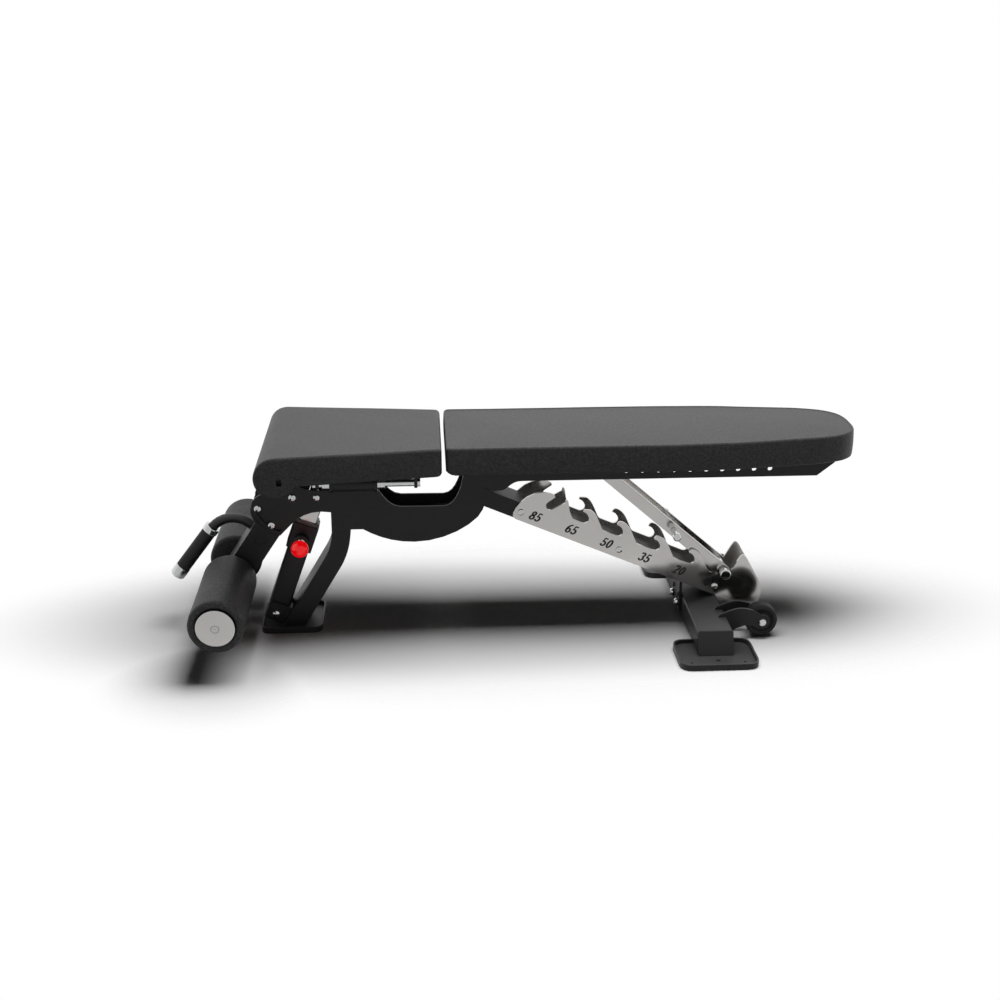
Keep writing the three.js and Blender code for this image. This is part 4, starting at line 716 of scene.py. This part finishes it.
@dataclass
class SeatPad(Pad):
    """The short pad: a wedge with a rolled front, wider towards the front.

    Args:
        roll: Radius of the rolled front.
        rear_half: Half width at the rear.
        rear_depth: Thickness at the rear.
        wedge: Slope of the underside in degrees.
        lip: Edge rounding at the rear.
        lug_room: Size of the room underneath for the carrier's lug.
        recess: Size of the square recess in each side at the axle.
    """

    roll: float = 0.0445
    rear_half: float = 0.147
    rear_depth: float = 0.062
    wedge: float = 0.6
    lip: float = 0.009
    lug_room: Triple = (0.108, 0.093, 0.12)
    recess: Triple = (0.0105, 0.03, 0.0145)

    def _under(self, x: float | Array) -> float | Array:
        """Height of the underside.

        Args:
            x: Place along the pad.

        Returns:
            Its height.
        """
        return self.high.z - self.rear_depth + (x - self.high.x) * math.tan(math.radians(self.wedge))

    def _half(self, x: Array) -> Array:
        """Half width of the pad.

        Args:
            x: Places along the pad.

        Returns:
            The half widths.
        """
        taper = (self.high.y - self.rear_half) / (self.high.x - self.low.x)
        return self.rear_half + taper * (self.high.x - x)

    def profile(self) -> Array:
        """Side outline, anticlockwise from the rear of the top: top, rolled front, underside, rear.

        Returns:
            Points (x, z).
        """
        x1, top, e = self.high.x, self.high.z, self.lip
        roll_x, roll_z = self.low.x + self.roll, top - self.roll
        roll = arc((roll_x, roll_z), self.roll, np.pi / 2, 2 * np.pi - 0.8, 44)
        first = roll_x + self.roll + 0.004
        flat = np.linspace(first + 0.006, x1 - 0.01, 40)
        low = self._under(x1)
        start, end = roll[-1], np.array([first, self._under(first)])
        bend = np.array([roll_x + self.roll * 0.82, end[1] - 0.0005])
        t = np.array([[0.3], [0.6], [1.0]])
        parts = (
            np.linspace((x1 - e, top), (roll_x + 0.004, top), 44),
            roll,
            (1 - t) ** 2 * start + 2 * t * (1 - t) * bend + t * t * end,
            np.column_stack([flat, self._under(flat)]),
            arc((x1 - e, low + e), e, 0.2 - np.pi / 2, 0, 7),
            np.linspace((x1, low + 0.013), (x1, top - e - 0.002), 8),
            arc((x1 - e, top - e), e, 0, 1.4, 7),
        )
        return np.concatenate(parts)

    def build(self) -> bpy.types.Object:
        """Sweep the side outline across, round it over at both sides and close it.

        Returns:
            The pad, declared padded and standing for the CAD pad.
        """
        outline = self.profile()
        normal = outward(outline)
        x0, x1, top = self.low.x, self.high.x, self.high.z
        half = self._half(outline[:, 0])
        mid_x = np.clip(outline[:, 0], x0 + self.roll + 0.02, x1 - 0.03)
        mid_z = top - self.rear_depth / 2 + (mid_x - x1) * math.tan(math.radians(self.wedge)) / 2
        core = np.stack([mid_x, mid_z], -1)
        r = self.edge + 0.005 * np.clip((outline[:, 0] - x1 + 0.012) / 0.012, 0, 1)
        shares = np.linspace(0, 1, 21)
        rings = [np.column_stack([outline[:, 0], (half - r) * share, outline[:, 1]]) for share in shares]
        for t in np.linspace(0.01, np.pi / 2, 9):
            flat = outline - normal * ((1 - math.cos(t)) * r)[:, None]
            rings.append(np.column_stack([flat[:, 0], half - (1 - math.sin(t)) * r, flat[:, 1]]))
        base = outline - normal * r[:, None]
        for share in (0.08, 0.2, 0.4, 0.6, 0.8, 1.0):
            flat = base + (core - base) * share
            puff = PUFF * math.sin(share * np.pi / 2) * np.clip((x1 - 0.03 - flat[:, 0]) / 0.09, 0, 1)
            rings.append(np.column_stack([flat[:, 0], self._half(flat[:, 0]) + puff, flat[:, 1]]))
        far = np.array(rings)
        grid = np.concatenate([far[1:][::-1] * [1, -1, 1], far])
        points = grid.reshape(-1, 3)
        up = points[:, 2] > top - 0.004
        points[up, 2] += SAG * ripple(points[up, 0], points[up, 1], 11, 0.15) - SAG
        sides = np.abs(points[:, 1]) > 0.12
        points[:, 1] *= 1 + 0.002 * ripple(points[:, 0], points[:, 2], 13, 0.06) * sides
        pad = mesh_piece("seat_pad_vinyl", points, ring_faces(len(grid), len(outline)), "seat", "vinyl")
        axle = middle("seat_axle")
        carve(pad, Vector((axle.x + 0.035, 0, axle.z - 0.042)), Vector(self.lug_room))
        for way in (-1, 1):
            carve(pad, Vector((axle.x + 0.001, way * 0.19, axle.z + 0.0005)), Vector(self.recess))
        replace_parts(pad, "seat_pad")
        return pad


# --- rollers, wheels, handle and knob


def shoulders(radius: float, length: float, curve: float, steps: int) -> tuple[Profile, Profile]:
    """Rounded corners at both ends of a turned profile.

    Args:
        radius: Outer radius.
        length: Length along the axis.
        curve: Radius of the corners.
        steps: Points in each corner.

    Returns:
        The corner at the start and the one at the end.
    """
    angles = np.linspace(0, np.pi / 2, steps)
    rise = [(radius - curve + curve * math.sin(t), curve - curve * math.cos(t)) for t in angles]
    fall = [(radius - curve + curve * math.cos(t), length - curve + curve * math.sin(t)) for t in angles]
    return rise, fall


# The end disc of a roller, from its hidden stub out over the domed face to the small screw in its middle.
DISH: Profile = [(TIP, -14), (9, -14), (9, 0.3), (38.6, 0.3), (40.3, 1.2), (40.6, 2.4), (39.9, 3.5)]
DISH += [(38.4, 4.1), (34, 4.9), (29, 5.6), (22, 6.2), (15, 6.5), (10, 6.5), (8.8, 5.4), (8.4, 4.4)]
DISH += [(6.6, 4.4), (6.6, 5.4), (6.2, 6.6), (5.0, 7.6), (3.4, 7.9), (2.9, 7.9), (2.8, 5.9), (TIP, 5.9)]


@dataclass
class Roller:
    """A foam roller with its silver end disc.

    Args:
        side: "near" or "far".
        way: -1 on the near side, +1 on the far side.
        bore: Radius of the hole in mm.
        curve: Radius of the rounded ends in mm.
        seat: Radius and depth of the hollow that the disc sits in, in mm.
        waist: How far the foam draws in between its ends and its middle, in mm.
    """

    side: str
    way: int
    bore: float = 13.0
    curve: float = 9.0
    seat: Span = (42.0, 3.0)
    waist: float = 0.5

    def build(self) -> None:
        """Turn the foam and the disc at the CAD roller's place."""
        node = "foam_roller_" + self.side
        low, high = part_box(node)
        radius, length = (high.x - low.x) / 2 / MM, (high.y - low.y) / MM
        centre = middle(node)
        centre.y = low.y if self.way > 0 else high.y
        axis = Vector((0, self.way, 0))
        rise, fall = shoulders(radius, length, self.curve, 9)
        straight = length - 2 * self.curve
        seat, depth = self.seat
        profile = [(self.bore, 6.0), (18, 1.5), (24, 0.4), *rise]
        along = np.linspace(0, 1, 24)
        profile += [(radius - self.waist * math.sin(s * np.pi) ** 2, self.curve + straight * s) for s in along]
        hollow = [(seat + 2, length - 0.6), (seat, length - depth), (self.bore, length - depth)]
        shape = lathe([*profile, *fall, *hollow, profile[0]], centre, axis, 96)
        foam = mesh_piece(f"foam_{self.side}", *shape, f"roller_{self.side}", "foam")
        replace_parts(foam, node)
        face = centre + axis * length * MM
        disc = mesh_piece(f"end_disc_{self.side}", *lathe(DISH, face, axis, 72), "holder", "satin_silver")
        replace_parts(disc, "roller_disc_" + self.side)


@dataclass
class Wheel:
    """A transport wheel with a ribbed hub.

    Args:
        side: "near" or "far".
        hub: Profile of the hub's face, from the bore out to the tyre, in mm.
        tread: Where the tread has its points, as parts of the width.
        curve: Radius of the tyre's shoulders in mm.
    """

    side: str
    hub: Sequence[Span] = (
        (5.3, 0.5), (11.4, 0.3), (12.4, 1.0), (13.6, 4.0), (23.6, 4.0), (25.4, 1.2), (26.4, 0.3)
    )
    tread: Sequence[float] = (0.3, 0.48, 0.485, 0.515, 0.52, 0.7)
    curve: float = 5.0

    def build(self) -> None:
        """Turn the tyre and hub at the CAD wheel's place."""
        node = "wheel_" + self.side
        low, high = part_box(node)
        radius, width = (high.x - low.x) / 2 / MM, (high.y - low.y) / MM
        centre = middle(node)
        centre.y = low.y
        rise, fall = shoulders(radius, width, self.curve, 7)
        profile = [*self.hub, *rise, *((radius, width * s) for s in self.tread), *fall]
        profile += [*((r, width - d) for r, d in reversed(self.hub)), self.hub[0]]
        shape = lathe(profile, centre, Vector((0, 1, 0)), 80)
        wheel = mesh_piece(f"tyre_{self.side}", *shape, node + "_body", "rubber")
        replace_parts(wheel, node)


@dataclass
class Knob:
    """The red ball of the pull pin.

    Args:
        node: CAD node that the ball stands for.
        steps: Points from the neck to the front.
    """

    node: str = "pull_pin_knob"
    steps: int = 40

    def build(self) -> None:
        """Turn the ball, with a small flat towards the neck."""
        low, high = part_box(self.node)
        radius = (high.x - low.x) / 2 / MM
        centre = middle(self.node)
        centre.y = low.y + radius * MM
        first = math.asin((high.y - centre.y) / MM / radius)
        sweep = np.linspace(first, -np.pi / 2, self.steps)
        profile = [(TIP, math.sin(first) * radius)]
        profile += [(radius * math.cos(t), radius * math.sin(t)) for t in sweep]
        shape = lathe(profile, centre, Vector((0, 1, 0)), 64)
        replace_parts(mesh_piece("red_ball", *shape, "pull_knob", "red_gloss"), self.node)


@dataclass
class Button:
    """A bright button head with a hexagon socket.

    Args:
        name: Piece name.
        body: Body that it rides on.
        place: Middle of its seat.
        axis: Outward direction.
        radius: Radius in mm.
        height: Height in mm.
        socket: Whether the head has a socket.
    """

    name: str
    body: str
    place: Vector
    axis: Vector
    radius: float
    height: float
    socket: bool = True

    def build(self) -> None:
        """Turn the head and sink its socket."""
        r, h = self.radius, self.height
        head = [(TIP, -0.4), (r, -0.4), (r, 0.45 * h)]
        head += [(0.93 * r, 0.75 * h), (0.75 * r, 0.95 * h), (0.5 * r, h)]
        head += [(0.34 * r, 0.98 * h), (0.32 * r, 0.7 * h), (TIP, 0.7 * h)] if self.socket else [(TIP, h)]
        mesh_piece(self.name, *lathe(head, self.place, self.axis, 36), self.body, "chrome")


@dataclass
class Hardware:
    """Bright heads on the wheel axles and the flange.

    Args:
        axle_head: Radius and height of an axle head in mm.
        boss: How far an axle head sits inside its bracket's outer side.
        flange_head: Radius and height of a flange bolt's head in mm.
        flange_place: How far a flange bolt is behind the flange's front, off the middle and up.
    """

    axle_head: Span = (8.4, 5.2)
    boss: float = 0.0045
    flange_head: Span = (8.2, 9.0)
    flange_place: Triple = (0.0036, 0.028, 0.034)

    def build(self) -> None:
        """Make all four heads."""
        depth, across, up = self.flange_place
        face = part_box("spine_flange")[0].x + depth
        for side, way in (("near", -1), ("far", 1)):
            low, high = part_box("wheel_bracket_" + side)
            seat = middle("wheel_" + side)
            seat.y = high.y - self.boss if way > 0 else low.y + self.boss
            out = Vector((0, way, 0))
            Button(f"axle_head_{side}", "frame", seat, out, *self.axle_head, socket=False).build()
            seat, out = Vector((face, way * across, up)), Vector((-1, 0, 0))
            Button(f"flange_bolt_{side}", "frame", seat, out, *self.flange_head).build()


# Distances are along the grip, from the middle of the face of its CAD end.
CAP: Profile = [(TIP, -5.0), (11.5, -5.0), (14.6, -4.3), (16.2, -2.6), (16.9, -0.4), (16.9, 19.5)]
CAP += [(16.5, 21.4), (15.7, 22), (15.7, 9.0), (TIP, 9.0)]
COLLAR: Profile = [(15.9, 125), (16.9, 125.4), (17.5, 127), (17.5, 138), (17.0, 139.8), (15.8, 140.4)]
COLLAR += [(11.3, 140.4), (11.3, 136.5), (15.9, 136.5), (15.9, 125)]


@dataclass
class Handle:
    """Chrome collar and end of the hand grip.

    Args:
        lean: Direction of the grip from its end, in degrees above +X.
        radius: CAD radius of the end in mm.
    """

    lean: float = 52.5
    radius: float = 15.5

    def build(self) -> None:
        """Turn both pieces about the grip's axis."""
        low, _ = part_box("handle_end_cap")
        lean = math.radians(self.lean)
        axis = Vector((math.cos(lean), 0, math.sin(lean)))
        end = Vector((low.x + self.radius * MM * axis.z, 0, low.z + self.radius * MM * axis.x))
        cap = mesh_piece("handle_end", *lathe(CAP, end, axis, 56), "holder", "chrome")
        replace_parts(cap, "handle_end_cap")
        mesh_piece("handle_collar", *lathe(COLLAR, end, axis, 56), "holder", "chrome")


@dataclass
class SocketShades:
    """Hexagon sockets in the button heads, drawn as thin black hexagons whose black is painted shade for a
    deep socket.

    Args:
        heads: CAD node of each bolt, the body that it rides on and its socket radius in mm.
    """

    heads: Sequence[tuple[str, str, float]]

    def build(self) -> None:
        """Set a thin dark hexagon into both ends of each bolt: painted shade that stands for the shaded inside
        of a socket.
        """
        for node, body, radius in self.heads:
            low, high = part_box(node)
            rim = radius * 1.14
            # The black hexagon is painted shade for the inside of the socket.
            shade_cup = [(rim, -0.2), (rim, 0.06), (radius, 0.08), (radius * 0.96, -0.1), (TIP, -0.1)]
            for name, y, way in (("near", low.y, -1), ("far", high.y, 1)):
                place = middle(node)
                place.y = y
                shape = lathe(shade_cup, place, Vector((0, way, 0)), 6)
                piece = mesh_piece(f"{node}_socket_{name}", *shape, body, "black_plastic")
                piece.data.shade_flat()


# --- ladder numbers


@dataclass
class LadderNumbers:
    """Plain angle numbers on the outside of both ladder plates.

    Args:
        marks: Each number with its place along the ladder's X and its height, in mm.
        start: Where the ladder starts, behind the seat axle.
        slope: Slope of the ladder in degrees.
        height: Height of the figures in mm.
        pitch: Distance between figures, in figure heights.
        slant: How far a figure leans, in figure heights.
        raised: Shift of the figures upwards.
        print: Distance of the print from the plate.
    """

    marks: Sequence[tuple[str, float, float]] = (
        ("85", 203.2, 253.3), ("65", 283.8, 220.6), ("50", 363.0, 186.3),
        ("35", 450.0, 149.1), ("20", 529.7, 116.3), ("0", 596.3, 86.5),
    )
    start: float = 0.342
    slope: float = 23.2
    height: float = 22.0
    pitch: float = 0.6
    slant: float = 0.24
    raised: float = 0.0018
    print: float = 0.00012

    def build(self) -> None:
        """Write each number on the near and the far plate."""
        low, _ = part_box("ladder_plate_near")
        origin = middle("seat_axle").x + self.start
        for text, x, z in self.marks:
            for side, y, way in (("near", low.y, -1), ("far", -low.y, 1)):
                self._figure(text, side, Vector((origin + x * MM, y, z * MM)), way)

    def _figure(self, text: str, side: str, place: Vector, way: int) -> None:
        """Write one number as a thin print.

        Args:
            text: The number.
            side: "near" or "far".
            place: Its middle.
            way: -1 to face the near side, +1 the far side.
        """
        points, faces = [], []
        for i, digit in enumerate(text):
            for stroke in DIGITS[digit]:
                band = ribbon(stroke)
                band[:, 0] += (i - len(text) / 2) * self.pitch
                start = len(points)
                points += band.tolist()
                quads = range(start, start + len(band) - 2, 2)
                faces += [(k, k + 1, k + 3, k + 2) for k in quads]
        flat = np.array(points)
        flat[:, 0] += (flat[:, 1] - 0.5) * self.slant
        flat[:, 1] -= 0.5
        flat *= self.height * MM
        tilt = math.radians(-self.slope)
        across, up = -way * flat[:, 0], flat[:, 1]
        x = place.x + across * math.cos(tilt) - up * math.sin(tilt)
        y = np.full(len(flat), place.y + way * self.print)
        z = place.z + self.raised + across * math.sin(tilt) + up * math.cos(tilt)
        mesh_piece(f"number_{text}_{side}", np.column_stack([x, y, z]), faces, "frame", "print_black")


def ribbon(stroke: Array) -> Array:
    """Widen a centre line into a band.

    Args:
        stroke: Rows of x, y and width.

    Returns:
        Left and right points in turn, each half a width to the side of the line.
    """
    ahead = np.gradient(stroke[:, :2], axis=0)
    ahead /= np.maximum(np.linalg.norm(ahead, axis=1), 1e-9)[:, None]
    side = np.column_stack([-ahead[:, 1], ahead[:, 0]]) * stroke[:, 2:3] / 2
    return np.stack([stroke[:, :2] + side, stroke[:, :2] - side], 1).reshape(-1, 2)


THIN = 0.15  # width of a bowl's line at its top and bottom, in figure heights
SWELL = 0.06  # how much wider it is at its sides


def bowl(cx: float, cy: float, rx: float, ry: float, start: float = 0, end: float = 360) -> Array:
    """Part of an ellipse whose line is thin at top and bottom and thick at its sides.

    Args:
        cx: Middle, in figure heights.
        cy: Middle, in figure heights.
        rx: Half width.
        ry: Half height.
        start: First angle in degrees.
        end: Last angle in degrees.

    Returns:
        Rows of x, y and width.
    """
    a = np.radians(np.linspace(start, end, 40))
    width = THIN + SWELL * np.abs(np.cos(a)) ** 1.4
    return np.column_stack([cx + rx * np.cos(a), cy + ry * np.sin(a), width])


# Strokes of each figure, in figure heights: rows of x, y and width.
DIGITS: dict[str, list[Array]] = {
    "0": [bowl(0.28, 0.5, 0.18, 0.43)],
    "2": [
        bowl(0.28, 0.7, 0.17, 0.23, 170, -35),
        np.array([(0.43, 0.6, 0.17), (0.33, 0.42, 0.15), (0.14, 0.14, 0.13)]),
        np.array([(0.05, 0.065, 0.14), (0.5, 0.065, 0.14)]),
    ],
    "3": [bowl(0.26, 0.73, 0.17, 0.2, 165, -88), bowl(0.26, 0.29, 0.19, 0.225, 88, -165)],
    "5": [
        bowl(0.26, 0.32, 0.19, 0.25, 130, -165),
        np.array([(0.13, 0.46, 0.13), (0.17, 0.97, 0.13)]),
        np.array([(0.12, 0.92, 0.14), (0.47, 0.92, 0.14)]),
    ],
    "6": [bowl(0.28, 0.29, 0.18, 0.225), bowl(0.42, 0.4, 0.32, 0.53, 80, 185)],
    "8": [bowl(0.28, 0.73, 0.15, 0.2), bowl(0.28, 0.28, 0.185, 0.215)],
}


# --- stage


REACH = 3.0  # half the side of the floor, in metres


@dataclass
class Stage:
    """White studio: floor, lamp, world and camera. Places on the floor are x and y.

    Args:
        lens: Focal length in mm on a 36 mm sensor.
        place: Camera position.
        pitch: Downward tilt in degrees.
        yaw: Turn to the right in degrees.
        strip: Length, width and height of the overhead strip lamp.
        strip_place: Where its middle is.
        power: Its power in watts.
        facing: Y of the directions where the mirrored world is grey and where it is white.
        grey: Brightness of the mirrored world on the camera's side.
        ambient: Brightness of the world as a light.
        floor: Brightness of the floor.
        oval: Scale on X and Y that makes the floor's edge an oval.
        fade: Scaled distances from the middle at which the floor starts to clear and is gone.
        roller: Where the near foam roller stands.
        roller_fade: The same two distances from there.
    """

    lens: float = 50.222
    place: Triple = (-0.18773, -2.91153, 1.3677)
    pitch: float = 20.4568
    yaw: float = 3.2583
    strip: Triple = (1.7, 0.86, 1.7)
    strip_place: Span = (0.25, 0.0)
    power: float = 50.0
    facing: Span = (-0.6, 0.5)
    grey: float = 0.62
    ambient: float = 0.024
    floor: float = 0.66
    oval: Span = (0.36, 1.0)
    fade: Span = (0.25, 0.46)
    roller: Span = (-0.62, -0.22)
    roller_fade: Span = (0.08, 0.3)

    def build(self) -> None:
        """Make the world, the floor, the lamp and the camera."""
        self._world()
        self._floor()
        length, width, height = self.strip
        data = bpy.data.lights.new("strip", "AREA")
        data.shape, data.size, data.size_y, data.energy = "RECTANGLE", length, width, self.power
        lamp = add_object("strip", data)
        lamp.location = (*self.strip_place, height)
        lamp.visible_camera = lamp.visible_glossy = False
        self._camera()

    def _world(self) -> None:
        """White to the camera; to reflections, white behind and grey in front; dim as a light."""
        world = bpy.data.worlds.new("studio")
        graph = Graph.emptied(world)
        path = graph.add("LightPath").outputs
        aim = graph.add("SeparateXYZ", graph.add("TexCoord").outputs["Generated"])
        mirrored = graph.add("MapRange", aim.outputs["Y"], *self.facing, self.grey, 1.0).outputs[0]
        unseen = graph.add("Mix", path["Is Glossy Ray"], None, self.ambient, mirrored).outputs[0]
        seen = graph.add("Mix", path["Is Camera Ray"], None, unseen, 1.0).outputs[0]
        back = graph.add("Background", (1.0, 1.0, 1.0, 1.0), seen)
        graph.add("OutputWorld", Surface=back.outputs[0])
        bpy.context.scene.world = world

    def _floor(self) -> None:
        """A white floor round the object and its front roller, which fades out into the studio's white."""
        mesh = bpy.data.meshes.new("studio_floor")
        corners = [(x * REACH, y * REACH, 0) for x, y in ((-1, -1), (1, -1), (1, 1), (-1, 1))]
        mesh.from_pydata(corners, [], [(0, 1, 2, 3)])
        material = bpy.data.materials.new("studio_floor")
        graph = Graph.emptied(material)
        space = graph.add("TexCoord").outputs["Object"]
        oval = graph.add("VectorMath", space, (*self.oval, 0.0), operation="MULTIPLY").outputs[0]
        far = graph.add("VectorMath", oval, operation="LENGTH").outputs["Value"]
        aside = graph.add("VectorMath", space, (*self.roller, 0.0), operation="DISTANCE").outputs["Value"]
        spans = ((far, self.fade), (aside, self.roller_fade))
        fades = [
            graph.add("MapRange", value, *span, interpolation_type="SMOOTHSTEP").outputs[0]
            for value, span in spans
        ]
        clear = graph.add("Math", *fades, operation="MINIMUM").outputs[0]
        white = graph.add("BsdfDiffuse", (self.floor, self.floor, self.floor, 1.0)).outputs[0]
        air = graph.add("BsdfTransparent").outputs[0]
        both = graph.add("MixShader", clear, white, air).outputs[0]
        graph.add("OutputMaterial", Surface=both)
        mesh.materials.append(material)
        floor = add_object("studio_floor", mesh)
        floor.visible_diffuse = False

    def _camera(self) -> None:
        """The camera that looks at the bench from its near side."""
        data = bpy.data.cameras.new("camera")
        data.lens, data.sensor_width = self.lens, 36.0
        data.clip_end = 200.0
        camera = add_object("camera", data)
        camera.location = self.place
        camera.rotation_euler = (math.radians(90 - self.pitch), 0, -math.radians(self.yaw))
        bpy.context.scene.camera = camera
        bpy.context.scene.view_settings.view_transform = "Standard"


# --- the bench

BEVELS: dict[str, float] = {"front_foot": 1.2, "rear_foot_near": 1.2, "rear_foot_far": 1.2, "belly_web": 0.3}
BOLTS: tuple[tuple[str, str, float], ...] = (
    *((f"ladder_bolt_{i}", "frame", 3.2) for i in (1, 2, 3)),
    ("post_guide_bolt", "frame", 3.2),
    ("post_pivot_bolt", "frame", 3.6),
    ("holder_pivot_bolt", "frame", 3.6),
    *((f"slot_screw_{i}", "holder", 3.4) for i in (1, 2)),
    ("back_hinge_bolt", "back_rest", 4.6),
    ("arm_pivot_bolt", "back_rest", 4.0),
)


def main() -> None:
    """Dress the CAD frame and stage it."""
    logging.basicConfig(level=logging.INFO, format="%(name)s: %(message)s")
    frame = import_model()
    Stage().build()
    slots = {part["node"]: part["material_slot"] for part in frame["record"]["subparts"]}
    for name, node in frame["nodes"].items():
        bevelled(node, BEVELS.get(name, 0.6), slots[name])
    BackPad(*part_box("back_pad")).build()
    SeatPad(*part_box("seat_pad")).build()
    for side, way in (("near", -1), ("far", 1)):
        Roller(side, way).build()
        Wheel(side).build()
    Knob().build()
    SocketShades(BOLTS).build()
    Hardware().build()
    Handle().build()
    LadderNumbers().build()


if __name__ == "__main__":
    main()
